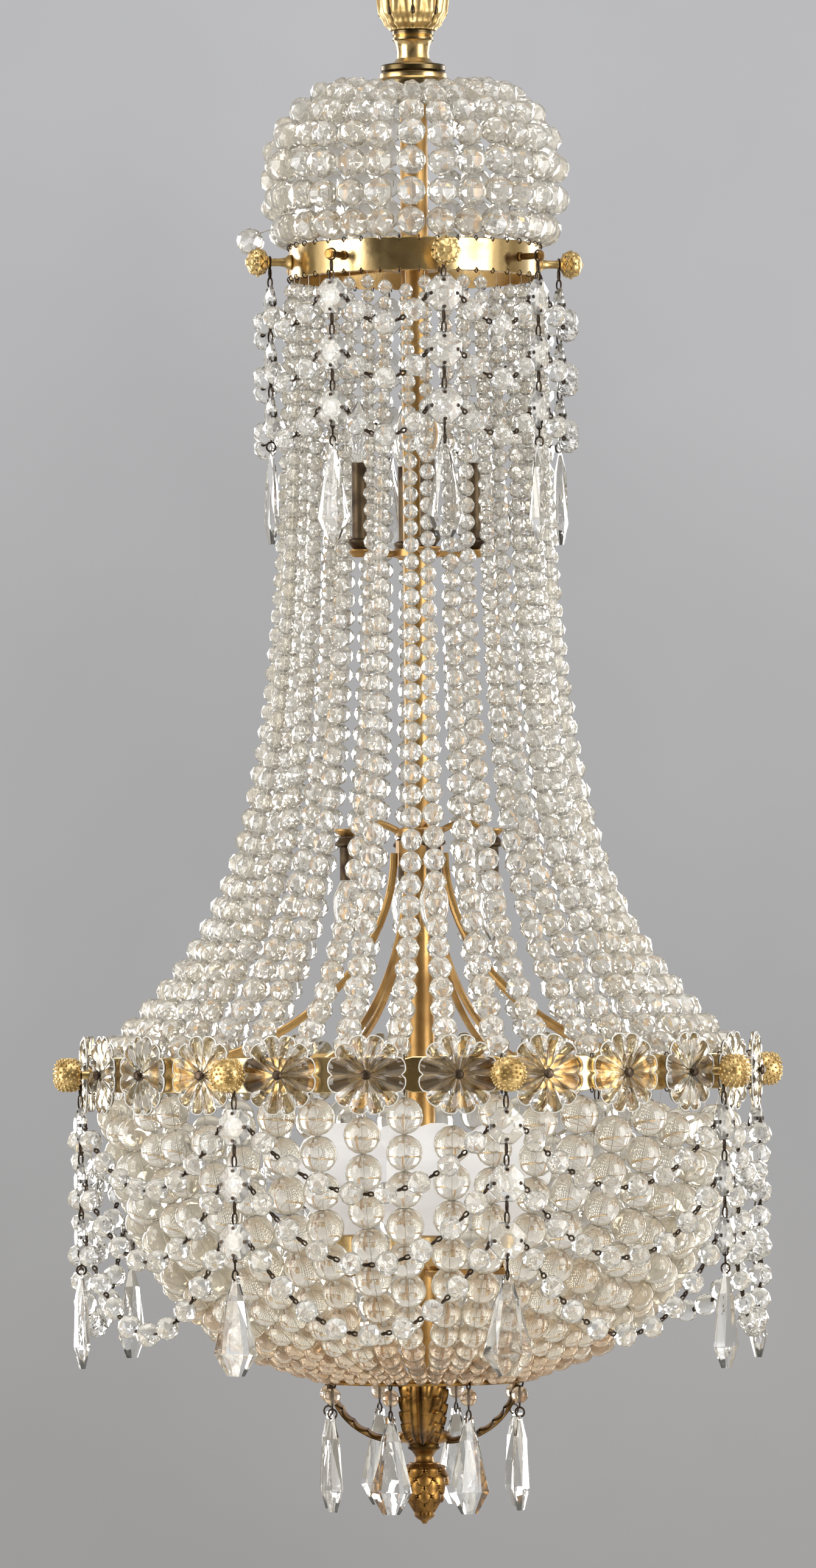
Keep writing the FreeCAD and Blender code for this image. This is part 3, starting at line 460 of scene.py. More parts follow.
def acanthus_cup():
    """Eight upright leaves with ribs and curled tips, with painted shade where they part at
    the base.
    """
    tall = 44.0
    body = ((0.0, 17.0), (0.12, 21.5), (0.3, 25.6), (0.5, 26.6), (0.72, 24.2), (0.88, 23.6),
            (1.0, 24.8))

    def leaf(along_leaf, round_cup):
        across = abs(((round_cup * 8) % 1.0) * 2 - 1)
        edge = across ** 5
        rib = -0.9 * math.exp(-(across * 4) ** 2) * (0.3 + along_leaf)
        veins = 0.3 * math.cos(across * 9 + along_leaf * 5) * (1 - edge)
        curl = 2.2 * max(0.0, along_leaf - 0.8) / 0.2 * (1 - edge)
        radius = (profile_at(body, along_leaf) - 3.4 * edge * (0.35 + along_leaf)
                  + rib + veins + curl)
        drop = 7.0 * max(0.0, along_leaf - 0.7) / 0.3 * across ** 3
        return min(radius, 27.4), tall * along_leaf - drop

    cup = grown(leaf, 40, 192)
    make("acanthus_leaf_cup", at_level(cup, NECK_TOP), matt_gilt, ["acanthus_cup"])
    # Painted shade: dark marks in the grooves where the leaves part near the base.
    dark_plug = lathe(((0, -3.4), (1.5, -2.2), (1.9, 0), (1.3, 2.4), (0, 4.6)), 16)
    gap_shades = copies(dark_plug, 8, 23.4, NECK_TOP + 13.0, 0)
    make("cup_gap_shades", gap_shades, pin_metal)


def neck_and_canopy():
    neck = lathe((
        (0, 31), (14.4, 31), (15.2, 30.2), (15.2, 27.6), (13.9, 26.6), (15.0, 25.4), (15.0, 23.8),
        (13.4, 22.4), (12.1, 19), (11.5, 14.5), (11.9, 10.5), (14.2, 7.7), (18.4, 6.3), (22.8, 5.7),
        (23.5, 4.6), (23.5, 1.6), (22.6, 0.3), (0, 0.3)), 96)
    make("neck_turning", at_level(neck, CANOPY_TOP), gilt, ["neck_baluster"])
    disc = lathe((
        (0, 12), (23.6, 12), (24.5, 11.2), (24.5, 8.0), (25.2, 7.2), (26.6, 6.6), (27, 5.4),
        (27, 2.4), (26, 0.3), (0, 0.3)), 96)
    make("canopy_disc", at_level(disc, CANOPY_LOW), gilt, ["crown_canopy"])


# ---- rings and what is fixed to them

def notched_band(radius, wall, width, notches):
    """A bright band with a rounded edge, nicked where each thread of beads is tied."""
    sides = notches * 6
    half = width / 2
    edge = 0.6
    sections = []
    for i, turn in enumerate(turns(sides)):
        nick = 1.6 if i % 6 == 0 else 0.0
        outline = ((radius - wall, -half + nick), (radius - edge, -half + nick),
                   (radius, -half + edge + nick), (radius, half - edge - nick),
                   (radius - edge, half - nick), (radius - wall, half - nick))
        sections.append([polar(reach, turn, height) for reach, height in outline])
    return closed_loop(sections)


def edge_knots(radius, height, count, turn, group):
    """Small wire knots over a ring's edge, where the threads are tied."""
    knot = torus(1.9, 0.45, 10, 5)
    for i in range(count):
        group.add(knot, upright(radius, turn + 360.0 / count * i, height))


def rings():
    """Both bands, with the knots of their threads just inside each edge, and the small ring."""
    knots = Shape()
    for name, radius, wall, width, notches, level, turn, inset in (
            ("upper", UPPER_RADIUS, UPPER_WALL, UPPER_WIDTH, 40, UPPER_RING, UPPER_PHASE, 0.6),
            ("lower", LOWER_RADIUS, LOWER_WALL, LOWER_WIDTH, 44, 0, LOWER_PHASE, 0.8)):
        band = at_level(notched_band(radius, wall, width, notches), level, turn)
        make(name + "_band", band, gilt, [name + "_ring"])
        edge = width / 2 - 0.6
        for height in (level + edge, level - edge):
            edge_knots(radius - inset, height, notches, turn, knots)
    make("thread_knots", knots, wire_metal)
    hoop = torus(BOTTOM_RADIUS, 2.0, 96, 10)
    make("bottom_hoop", at_level(hoop, BOTTOM_RING), bronze, ["bottom_ring"])


def scaled_cone(stations, length, rows, scales, lift, steps=60, sides=72):
    """A pinecone on Z: pointed scales that overlap, each row turned by half a scale."""
    def skin(share, turn):
        level = share * rows
        scale = 0.0
        for step in (int(level) - 1, int(level)):
            into = (level - step) / 1.6
            across = abs((turn * scales + 0.5 * (step % 2)) % 1.0 * 2 - 1)
            if into < 1 and across < math.sqrt(1 - into ** 2.2):
                scale = max(scale, 0.3 + 0.7 * into - 0.35 * across ** 2)
        ends = min(1.0, 12 * share) * min(1.0, 12 * (1 - share))
        return profile_at(stations, share) * (1 + lift * (scale - 0.6) * ends), length * share
    return grown(skin, steps, sides)


def studded(profile, studs, size):
    """Small round studs spread evenly over a turning's (radius, height) profile."""
    steps = smooth_path(profile, 8)
    areas = [0.0]
    for (ra, za), (rb, zb) in zip(steps, steps[1:]):
        areas.append(areas[-1] + (ra + rb) / 2 * math.hypot(rb - ra, zb - za))
    stud = lathe(((size, -0.4), (0.86 * size, 0.5 * size), (0.5 * size, 0.85 * size),
                  (0, size)), 8)
    group = Shape()
    for i in range(studs):
        reach = areas[-1] * (i + 0.5) / studs
        k = max(j for j in range(len(areas) - 1) if areas[j] <= reach)
        t = (reach - areas[k]) / (areas[k + 1] - areas[k])
        (ra, za), (rb, zb) = steps[k], steps[k + 1]
        angle = GOLDEN_ANGLE * i
        out = Vector(polar(zb - za, angle, ra - rb))
        place = Vector(polar(ra + (rb - ra) * t, angle, za + (zb - za) * t))
        turn = out.normalized().to_track_quat("Z", "Y").to_matrix().to_4x4()
        group.add(stud, Matrix.Translation(place) @ turn)
    return group


def knobs():
    """Pinecones and slim pins on the upper ring, thimbles on the lower one."""
    stem = lathe(((0, 0), (5.4, 0), (5.8, 0.9), (5.0, 2.2), (3.4, 4.2), (2.9, 7.5), (2.9, 13.6),
                  (4.2, 16.2), (5.2, 17.4), (0, 17.4)), 40)
    cone = scaled_cone(((0, 5.0), (0.16, 8.6), (0.45, 10.0), (0.75, 8.2), (1, 2.2)), 16.0, 5, 8,
                       0.24)
    group = copies(stem, 4, UPPER_RADIUS + 0.3, UPPER_RING, UPPER_PHASE, outward)
    group.add(copies(cone, 4, UPPER_RADIUS + 17.2, UPPER_RING, UPPER_PHASE, outward))
    make("pinecone_knobs", group, matt_gilt, ["upper_ring_knobs"], crease=50)
    pin = lathe(((0, 0), (3.4, 0), (3.4, 0.8), (2.4, 1.6), (2.4, 16.6), (3.6, 17.2), (3.8, 18.2),
                 (2.8, 19.4), (0, 20.0)), 32)
    pins = copies(pin, 4, UPPER_RADIUS + 0.3, UPPER_RING, UPPER_PHASE + 45, outward)
    make("ring_pins", pins, bronze, ["upper_ring_pins"])
    stalk = lathe(((0, 0), (3.8, 0), (3.4, 1.2), (2.9, 2.4), (2.9, 11.6), (0, 11.6)), 32)
    outline = ((8.8, 0.6), (10.6, 1.6), (11.2, 4.0), (11.3, 9.0), (10.9, 13.2), (8.6, 16.0),
               (4.6, 17.2), (0.5, 17.4))
    thimble = lathe(((0, 0.2),) + outline + ((0, 17.5),), 48)
    thimble.add(studded(outline, 120, 1.15))
    group = copies(stalk, 8, LOWER_RADIUS + 0.3, 0, LOWER_PHASE, outward)
    group.add(copies(thimble, 8, LOWER_RADIUS + 11.8, 0, LOWER_PHASE, outward))
    make("thimble_knobs", group, matt_gilt, ["lower_ring_knobs"], crease=50)


def rosettes():
    """Pressed flowers: roof-shaped petals with a rounded tip, parted by deep grooves, with painted
    shade on one side of each petal and a painted highlight round each rim.
    """
    petals, across, rows = 12, 6, 7
    sides = petals * across
    rim = []
    for j, turn in enumerate(turns(sides)):
        part = abs(j % across / across * 2 - 1)
        rim.append((turn, 28.0 * (0.88 + 0.12 * math.sqrt(1 - part ** 2)), part))

    def level(share, rise):
        return [polar(share * reach, turn, rise(part)) for turn, reach, part in rim]

    sections = [[(0, 0, 0.2)], level(0.5, lambda part: 0.2), level(1.0, lambda part: 0.2)]
    for i in range(rows, 0, -1):
        share = i / rows
        tip = 1.0 if i < rows else 0.5
        roof = 2.1 * min(1.0, 3 * share)
        floor = 3.4 - 1.6 * share
        sections.append(level(share, lambda part: tip * (floor + roof * (1 - part))))
    sections.append([(0, 0, 3.6)])
    flower = strips(sections)
    # Painted shade: one roof side of each petal takes the dark khaki of the flower glass, the other
    # stays clear.
    flower.tints = [0.1 if face[0] % across < across // 2 else 0.7 for face in flower.faces]
    start = LOWER_PHASE + 7.5
    group = copies(flower, 24, LOWER_RADIUS + 2.0, 0, start, outward)
    make("glass_rosettes", group, flower_glass, ["rosettes"], smooth=False)
    # A milky rim round each flower, whose white is a painted highlight for the light its edge
    # reflects.
    outline = [Vector(polar(reach, turn, 1.6)) for turn, reach, part in rim]
    edge = copies(tube(outline + outline[:2], 0.55, 5), 24, LOWER_RADIUS + 2.0, 0, start, outward)
    make("rosette_rim_highlights", edge, rim_highlight_glass)
    head = lathe(((0, 0), (2.0, 0), (2.0, 6.7), (3.5, 6.8), (3.6, 7.8), (2.6, 9.4), (0, 10.2)), 20)
    pins = copies(head, 24, LOWER_RADIUS + 0.3, 0, start, outward)
    make("rosette_heads", pins, pin_metal, ["rosette_pins"])


# ---- inner frame and lamps

def stays():
    """Eight quarter curves from the column down to the lower ring."""
    group = Shape()
    inner, outer, tall = 19.8, 235.2, 158.0
    for k in range(8):
        angle = LOWER_PHASE + 11.25 + 45 * k
        path = []
        for i in range(25):
            turn = math.radians(90.0 * i / 24)
            radius = inner + (outer - inner) * (1 - math.cos(turn))
            path.append(spot(radius, angle, tall * (1 - math.sin(turn))))
        group.add(tube(path, 2.6 * MM, 8))
    make("curved_stays", group, old_brass, ["ring_stays"])


def lamp_arms(label, height, end, rise, node):
    """Four arms on a collar, bent by rise, each with a drip pan at its socket."""
    collar = lathe(((10.2, -3), (16.5, -3), (17, -2.4), (17, 2.4), (16.5, 3), (10.2, 3)), 48)
    group = at_level(collar, height)
    pan = lathe(((0, -3), (5, -3), (9.4, 1.4), (9.4, 2.4), (6, 3), (0, 3)), 32)
    for k in range(4):
        angle = UPPER_PHASE + 90 * k
        path = []
        for i in range(13):
            share = i / 12
            path.append(spot(ARM_START + (end - ARM_START) * share, angle,
                             height + rise * math.sin(math.pi * share)))
        group.add(tube(path, 2.4 * MM, 10))
        group.add(pan, standing(end, angle, height))
    make(label, group, old_brass, [node])


def lamps():
    lamp_arms("upper_arms", UPPER_LAMP_HEIGHT, UPPER_LAMP_RADIUS, -1.0, "upper_lamp_arms")
    lamp_arms("middle_arms", MIDDLE_LAMP_HEIGHT, MIDDLE_LAMP_RADIUS, 7.0, "middle_lamp_arms")
    lamp_arms("basket_arms", BASKET_LAMP_HEIGHT, BASKET_LAMP_RADIUS, -1.0, "basket_lamp_arms")
    cups = Shape()
    tubes = Shape()
    bulbs = Shape()
    cup = lathe(((0, 0), (5.6, 0), (9.0, 4.6), (9.0, 6.0), (6.2, 7.4), (0, 7.4)), 32)
    outline = [(12.0 * math.sin(math.pi * (0.12 + 0.84 * i / 12)) ** 0.9 * (1 - 0.25 * i / 12),
                44.0 * i / 12) for i in range(13)]
    flame = lathe([(0, 0)] + outline + [(0, 44)], 24)
    for height, radius, way, length in (
            (UPPER_LAMP_HEIGHT + 3.3, UPPER_LAMP_RADIUS, 1, 62),
            (MIDDLE_LAMP_HEIGHT - 3.3, MIDDLE_LAMP_RADIUS, -1, 31)):
        flip = Matrix.Rotation(0 if way > 0 else math.pi, 4, "X")
        sleeve = lathe(((0, 6.8), (5.5, 6.8), (5.5, length), (0, length)), 24)
        for k in range(4):
            angle = UPPER_PHASE + 90 * k
            place = standing(radius, angle, height) @ flip
            cups.add(cup, place)
            tubes.add(sleeve, place)
            bulbs.add(flame, place @ Matrix.Translation((0, 0, length + 0.3)))
    cups.add(tubes)
    make("candle_tubes", cups, tube_metal, ["candle_sockets"])
    make("flame_bulbs", bulbs, bulb_glass, ["candle_bulbs"])
    holder = lathe(((0, 0.3), (6.4, 0.3), (12.4, 8.2), (12.8, 9.4), (12.8, 23), (11.8, 24),
                    (0, 24)), 40)
    group = copies(holder, 4, BASKET_LAMP_RADIUS, BASKET_LAMP_HEIGHT + 3, UPPER_PHASE)
    make("globe_holders", group, gilt, ["basket_sockets"])
    sizes = ((0, 13.5), (0.12, 18.5), (0.3, 29.5), (0.5, 36.5), (0.64, 36.6), (0.82, 30.0),
             (0.94, 18.0), (1, 5))
    outline = [(profile_at(sizes, i / 20), 80.0 * i / 20) for i in range(21)]
    globe = lathe([(0, 0)] + outline + [(0, 80.0)], 40)
    group = copies(globe, 4, BASKET_LAMP_RADIUS, BASKET_LAMP_HEIGHT + 27.6, UPPER_PHASE)
    make("frosted_globes", group, frosted_glass, ["basket_bulbs"], crease=60)


# ---- beads and threads

def cut_bead(levels, sides):
    """A cut bead 1 across: belts of facets between (radius, height, twist) levels, on Z."""
    shape = Shape()
    for radius, height, twist in levels:
        shape.points.extend(Vector(corner) for corner in circle(radius, height, sides, twist))
    twists = [twist for radius, height, twist in levels]
    for level, (near, far) in enumerate(zip(twists, twists[1:])):
        for i in range(sides):
            a, b = level * sides + i, level * sides + (i + 1) % sides
            c, d = a + sides, b + sides
            if near == far:
                shape.faces.append((a, b, d, c))
            elif far > near:
                shape.faces += [(a, b, c), (b, d, c)]
            else:
                shape.faces += [(a, b, d), (a, d, c)]
    shape.faces.append(tuple(reversed(range(sides))))
    shape.faces.append(tuple(range(len(shape.points) - sides, len(shape.points))))
    return shape


def round_bead(sides=16, rows=9):
    """A smooth bead 1 across with a dimple at each end, where its thread goes in."""
    sections = [[(0, 0, -0.44)]]
    for i in range(rows):
        angle = math.pi * (i + 0.6) / (rows + 0.2)
        sections.append(circle(0.5 * math.sin(angle), -0.5 * math.cos(angle), sides))
    sections.append([(0, 0, 0.44)])
    return strips(sections)


CUT_BEAD = cut_bead(((0.17, -0.47, 0.0), (0.40, -0.30, 0.5), (0.5, -0.09, 0.0),
                     (0.5, 0.09, 0.0), (0.40, 0.30, 0.5), (0.17, 0.47, 0.0)), 8)
FINE_BEAD = cut_bead(((0.15, -0.48, 0.0), (0.38, -0.31, 0.5), (0.5, 0.0, 0.0), (0.38, 0.31, 0.5),
                      (0.15, 0.48, 0.0)), 9)
ROUND_BEAD = round_bead()


def thread_beads(path, size_at, lead):
    """Beads that touch along a path of (radius, height), the first of them lead from its start:
    (share, radius, height, run, size)."""
    reach = [0.0]
    for (ra, za), (rb, zb) in zip(path, path[1:]):
        reach.append(reach[-1] + math.hypot(rb - ra, zb - za))
    total = reach[-1]
    places = []
    end = lead
    while True:
        size = size_at(min(1.0, (end + 5.0) / total))
        if end + size > total:
            break
        places.append((end + size / 2, size))
        end += size
    stretch = total / end
    beads = []
    for place, size in places:
        place *= stretch
        i = max(k for k in range(len(reach) - 1) if reach[k] <= place)
        t = (place - reach[i]) / (reach[i + 1] - reach[i])
        (ra, za), (rb, zb) = path[i], path[i + 1]
        beads.append((place / total, ra + (rb - ra) * t, za + (zb - za) * t, (rb - ra, zb - za),
                      size * stretch))
    return beads


def bead_strings(label, path, sizes, count, turn, bead, finish, nodes, sway, swing, warmth,
                 wear=0.93, shake=0.0, dip=0.0, crease=60.0):
    """Strings of beads round the column; sway draws them together in pairs, swing moves them in
    and out, warmth tints and shake loosens the beads near the lower end, wear is the least size
    of a string's beads, dip lowers the first beads of the front strings, and crease is the
    angle above which a bead's edges stay sharp."""
    group = Shape()
    threads = Shape()
    for k in range(count):
        worn = chance.uniform(wear, 1.0)
        beads = thread_beads(path, lambda share: worn * profile_at(sizes, share),
                             chance.uniform(0.0, 0.9) * sizes[0][1])
        side = sway * (-1 if k % 2 else 1) * chance.uniform(-0.25, 1.0)
        deep = swing * (1 if k % 2 else -1) * chance.uniform(0.6, 1.0)
        angle = turn + 360.0 / count * k
        line = []
        for share, radius, height, run, size in beads:
            loose = math.sin(math.pi * share) ** 0.7
            free = shake * share ** 2
            here = angle + side * loose + math.degrees(chance.uniform(-free, free) / radius)
            front = max(0.0, math.cos(math.radians(here + 90))) ** 3
            drop = dip * front * max(0.0, 1 - 2 * share)
            place = spot(radius + deep * loose + chance.uniform(-free, free), here, height - drop)
            way = spot(run[0], here, run[1] + HANG)
            line.append(place)
            tint = min(1.0, 0.6 * chance.random() + warmth * share ** 3)
            group.add(bead, along(place, way, size * chance.uniform(0.97, 1.0),
                                  chance.uniform(0, math.pi)), tint)
        first, last = path[0], path[-1]
        line = [spot(first[0], angle, first[1])] + line + [spot(last[0], angle, last[1])]
        threads.add(tube(line, THREAD * MM, 4))
    make(label, group, finish, nodes, crease=crease)
    make(label + "_threads", threads, thread_metal)


def strings():
    """The beads of the crown, the curtain and the basket, with the bead that slipped off."""
    crown = smooth_path(((28.0, 708), (40, 711), (54.0, 711), (68, 707.5), (81, 695.5),
                         (94, 677), (99.5, 657), (99.5, 625), (91.5, 597.5)))
    sizes = ((0, 11.0), (0.12, 14.5), (0.35, 19.5), (0.6, 21.5), (1, 21.5))
    bead_strings("crown_beads", crown, sizes, 28, UPPER_PHASE, CUT_BEAD, bead_glass,
                 ["crown_strings"], 1.0, 2.4, 0.1, wear=0.92, dip=8.0, crease=10.0)
    loose = Shape().add(CUT_BEAD, along(spot(119, 184, 601), Vector((0.3, 0, 1)), 20.0), 0.2)
    make("slipped_bead", loose, bead_glass, smooth=False)
    line = [spot(100, 186, 611), spot(112, 185, 607), spot(119, 184, 601)]
    make("slipped_bead_thread", tube(line, 0.35 * MM, 5), thread_metal)
    sweep = ((0.0, 0.0), (0.42, 0.06), (0.68, 0.2), (0.83, 0.42), (0.94, 0.74), (1.0, 1.0))
    body = smooth_path([(89.5 + 139.5 * out, 572.7 - 559.9 * down) for down, out in sweep])
    sizes = ((0, 11.0), (0.3, 12.4), (0.45, 14.2), (0.7, 17.5), (1, 20.0))
    bead_strings("body_beads", body, sizes, 40, LOWER_PHASE, FINE_BEAD, bead_glass,
                 ["body_strings"], 2.2, 2.4, 0.1, crease=12.0)
    sweep = ((0.0, 0.0), (0.45, 0.16), (0.72, 0.38), (0.88, 0.62), (1.0, 1.0))
    mouth, deep = 226.0, 206.9
    basket = smooth_path([(mouth - (mouth - BOTTOM_RADIUS) * draw, -12.8 - deep * down)
                          for down, draw in sweep])
    sizes = ((0, 27.5), (0.45, 28.0), (0.6, 23.5), (0.75, 18.5), (0.9, 13.5), (1, 10.5))
    bead_strings("basket_beads", basket, sizes, 44, LOWER_PHASE, ROUND_BEAD, basket_glass,
                 ["basket_strings"], 0.8, 1.8, 1.3, wear=0.9, shake=2.2)


# ---- crystals, links and swags

def octagon_crystal():
    """A flat crystal on X, cut with a table and a belt of facets on both faces."""
    sections = []
    for depth, share in ((-4.0, 0.42), (-1.3, 0.93), (0.0, 1.0), (1.3, 0.93), (4.0, 0.42)):
        corners = []
        for i in range(8):
            angle = math.radians(22.5 + 45 * i)
            reach = share * CRYSTAL / 2 / math.cos(math.radians(22.5))
            corners.append((depth, reach * math.cos(angle), reach * math.sin(angle)))
        sections.append(corners)
    return strips(sections)


def oval(length, width, thick):
    """A closed oval of wire along X, in the plane of X and Y, in millimetres."""
    sections = []
    for angle in turns(14):
        out = Vector(polar(1, angle, 0))
        centre = Vector(((length / 2 - thick) * out.x, (width / 2 - thick) * out.y, 0))
        sections.append([centre + out * thick * math.cos(turn)
                         + Vector((0, 0, thick * math.sin(turn))) for turn in turns(5)])
    return closed_loop(sections)


def link(group, start, end, width=4.4, thick=0.75):
    """Two wire ovals, one through the other at right angles, between two drilled pieces."""
    run = end - start
    length = run.length / MM
    each = length / 2 + 1.4 * thick
    turn = run.to_track_quat("X", "Z").to_matrix().to_4x4()
    loop = oval(each, width, thick)
    for place, spin in ((each / 2, 0.35), (length - each / 2, 0.35 + math.pi / 2)):
        group.add(loop, Matrix.Translation(start) @ turn @ Matrix.Scale(MM, 4)
                  @ Matrix.Translation((place, 0, 0)) @ Matrix.Rotation(spin, 4, "X"))


def hooked(group, radius, angle, first, stem_height):
    """The hook over a stem, the links of a chain and the loop that holds a prism."""
    half = CRYSTAL / 2
    wide, grip = 4.8, 2.4
    group.add(torus(4.0, WIRE, 18), outward(radius, angle, stem_height))
    high = spot(radius, angle, stem_height - 3.4)
    for level in range(3):
        centre = first - PITCH * level
        link(group, high, spot(radius, angle, centre + half - grip), wide)
        high = spot(radius, angle, centre - half + grip)
    last = centre - half
    loop = last - DROP_TO_LOOP
    group.add(torus(LOOP, WIRE, 20), upright(radius, angle, loop))
    group.add(tube([spot(radius, angle, last + 1.0), spot(radius, angle, loop + LOOP)],
                   WIRE * MM, 6))
    group.add(torus(2.3, 0.6, 12, 5), upright(radius, angle, last + 0.6))


def drill_crystals(group, radius, angle, first):
    """The four holes of each crystal, dark with the wire that fills them."""
    dark_plug = lathe(((0, -2.7), (1.35, -2.7), (1.35, 2.7), (0, 2.7)), 12)
    for level in range(3):
        centre = standing(radius, angle, first - PITCH * level)
        for side, rise in ((9.4, 0), (-9.4, 0), (0, 9.4), (0, -9.4)):
            group.add(dark_plug, centre @ Matrix.Translation((0, side, rise)) @ QUARTER_Y)


def chains():
    """Eight hooks on the stems of each ring, with three crystals below each of them."""
    crystal = octagon_crystal()
    for label, radius, first, stem, turn in (
            ("upper", UPPER_DROP, FIRST_UPPER, UPPER_RING, UPPER_PHASE),
            ("lower", LOWER_DROP, FIRST_LOWER, 0.0, LOWER_PHASE)):
        cut = Shape()
        for level in range(3):
            cut.add(copies(crystal, 8, radius, first - PITCH * level, turn))
        make(label + "_crystals", cut, swag_glass, [label + "_drop_crystals"],
             smooth=False)
        wires = Shape()
        for k in range(8):
            hooked(wires, radius, turn + 45 * k, first, stem)
            drill_crystals(wires, radius, turn + 45 * k, first)
        make(label + "_links", wires, wire_metal, [label + "_drop_wires"])


def swag_line(near, far, radius, sag, bulge):
    """Points along a swag between two chains: it hangs by sag and stands out by bulge."""
    start = near @ Vector((radius, CRYSTAL / 2 - 2.0, 0))
    end = far @ Vector((radius, 2.0 - CRYSTAL / 2, 0))
    line = []
    for i in range(49):
        share = i / 48
        dip = 4 * share * (1 - share)
        point = start.lerp(end, share)
        out = Vector((point.x, point.y, 0)).normalized()
        line.append(point + out * bulge * dip * MM - Vector((0, 0, sag * dip * MM)))
    return line


def point_along(line, distance):
    """The point at a distance along a line of points."""
    for a, b in zip(line, line[1:]):
        step = (b - a).length
        if distance <= step:
            return a.lerp(b, distance / step)
        distance -= step
    return line[-1]


def swag_rows(label, radius, first, sags, bulge, turn, shortest_link, node):
    """Beads on wire links, hung between the crystals of neighbouring chains."""
    beads = Shape()
    wires = Shape()
    for level, sag in enumerate(sags):
        for bay in range(8):
            near = standing(0, turn + 45 * bay, first - PITCH * level)
            far = standing(0, turn + 45 * (bay + 1), first - PITCH * level)
            line = swag_line(near, far, radius, sag * chance.uniform(0.93, 1.03), bulge)
            length = sum((b - a).length for a, b in zip(line, line[1:])) / MM
            count = int((length - shortest_link) / (SWAG_BEAD + shortest_link))
            gap = (length - count * SWAG_BEAD) / (count + 1)
            edge = 0.0
            for i in range(count + 1):
                link(wires, point_along(line, (edge - 0.8 * bool(i)) * MM),
                     point_along(line, (edge + gap + 0.8 * (i < count)) * MM))
                edge += gap
                if i < count:
                    centre = point_along(line, (edge + SWAG_BEAD / 2) * MM)
                    run = point_along(line, (edge + SWAG_BEAD) * MM) - point_along(line, edge * MM)
                    size = SWAG_BEAD * chance.uniform(0.96, 1.04)
                    beads.add(CUT_BEAD, along(centre, run, size, chance.uniform(0, 3)),
                              0.6 * chance.random())
                edge += SWAG_BEAD
    make(label + "_beads", beads, swag_glass, [node], smooth=False)
    make(label + "_wires", wires, wire_metal)


def swags():
    swag_rows("upper_swag", UPPER_DROP, FIRST_UPPER, (22, 22, 22), 9, UPPER_PHASE, 5.0,
              "upper_swags")
    swag_rows("lower_swag", LOWER_DROP, FIRST_LOWER, (48, 57, 66), 4, LOWER_PHASE, 6.5,
              "lower_swags")


def bottom_hooks():
    """Eight hooks under the small ring, each with a bead and the loop of its prism."""
    wires = Shape()
    beads = Shape()
    edge = BOTTOM_RING - 2
    loop = edge - 2 * DROP_TO_LOOP
    for k in range(8):
        angle = BOTTOM_PHASE + 45 * k
        wires.add(torus(2.6, WIRE, 16), upright(BOTTOM_RADIUS, angle, edge - 0.2))
        wires.add(torus(LOOP, WIRE, 20), upright(BOTTOM_RADIUS, angle, loop))
        wires.add(tube([spot(BOTTOM_RADIUS, angle, edge - 1.5),
                        spot(BOTTOM_RADIUS, angle, loop + LOOP)], WIRE * MM, 6))
        centre = spot(BOTTOM_RADIUS, angle, edge - 8.5)
        beads.add(ROUND_BEAD, along(centre, Vector((0, 0, 1)), 12.5), 1.0)
    make("bottom_wires", wires, wire_metal, ["bottom_drop_hooks"])
    make("bottom_beads", beads, basket_glass, crease=60)


# ---- bottom of the frame

def leaf_straps():
    """Four acanthus straps: lobed edges, a raised rib and veins, curved up to the small ring."""
    group = Shape()
    rows, lobes, cross = 84, 6, 24
    inner, outer = 16.0, 66.0
    low, high = HUB_LOW + 3, BOTTOM_RING + 2
    for k in range(4):
        sections = []
        for i in range(rows + 1):
            share = i / rows
            angle = math.radians(90 * share)
            radius = inner + (outer - inner) * math.sin(angle)
            height = low + (high - low) * (1 - math.cos(angle))
            run = Vector((math.cos(angle) * 50, 0, math.sin(angle) * 46)).normalized()
            out = Vector((-run.z, 0, run.x))
            width = 20.0 + 13.0 * math.sin(math.pi / 2 * min(1.0, share * 1.2))
            saw = share * lobes % 1.0
            width *= 0.84 + 0.16 * saw ** 0.6
            section = []
            for j in range(2 * cross):
                front = j < cross
                s = (j / (cross - 1) if front else (2 * cross - 1 - j) / (cross - 1)) * 2 - 1
                cup = 3.0 * s * s
                rib = 1.0 * math.exp(-(s * 6) ** 2) + 1.1 * math.cos(s * 13 - 2.5 * saw * abs(s))
                lift = (cup - 1.6 - rib) if not front else (cup + 0.6)
                edge = 1.0 - 0.5 * abs(s) ** 4
                curl = 2.6 * math.sin(math.pi * saw) * abs(s) ** 3
                section.append(Vector((radius, s * width / 2, height)) + out * (lift * edge - curl))
            sections.append(section)
        group.add(strips(sections), standing(0, BRACKET_PHASE + 90 * k, 0))
    hub = lathe(((0, 0), (13, 0), (17, 1.2), (19.6, 3.4), (20, 5), (19.2, 7.5), (15, 9.6),
                 (0, 9.7)), 64)
    group.add(hub, standing(0, 0, HUB_LOW))
    make("acanthus_bracket", group, bronze, ["leaf_bracket"], crease=45)


def finial():
    """A turned neck and a pinecone that points down."""
    neck = lathe(((0, 0.2), (11.6, 0.2), (12, -1.2), (11.7, -3.6), (9, -5.4), (6.9, -8.2),
                  (6.5, -10.5), (7.4, -13), (10.4, -15), (0, -15)), 48)
    cone = scaled_cone(((0, 11.0), (0.1, 16.0), (0.26, 17.4), (0.55, 14.0), (0.85, 7.2), (1, 1.6)),
                       44.0, 7, 8, 0.22, 112, 112)
    turn = Matrix.Rotation(math.pi, 4, "X")
    group = at_level(neck, HUB_LOW)
    group.add(cone, standing(0, 0, HUB_LOW - 13.8) @ turn)
    make("pinecone_finial", group, bronze, ["bottom_finial"], crease=50)


def dress_nodes():
    """Finishes for the CAD nodes that stay: the column, collars, spider and prisms."""
    for name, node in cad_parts.items():
        glassy = "_prism_" in name
        if glassy or name in ("column_tube", "upper_ring_spider", "stay_hub"):
            node.data.materials.clear()
            node.data.materials.append(prism_glass if glassy else old_brass)


# ---- stage, light and camera

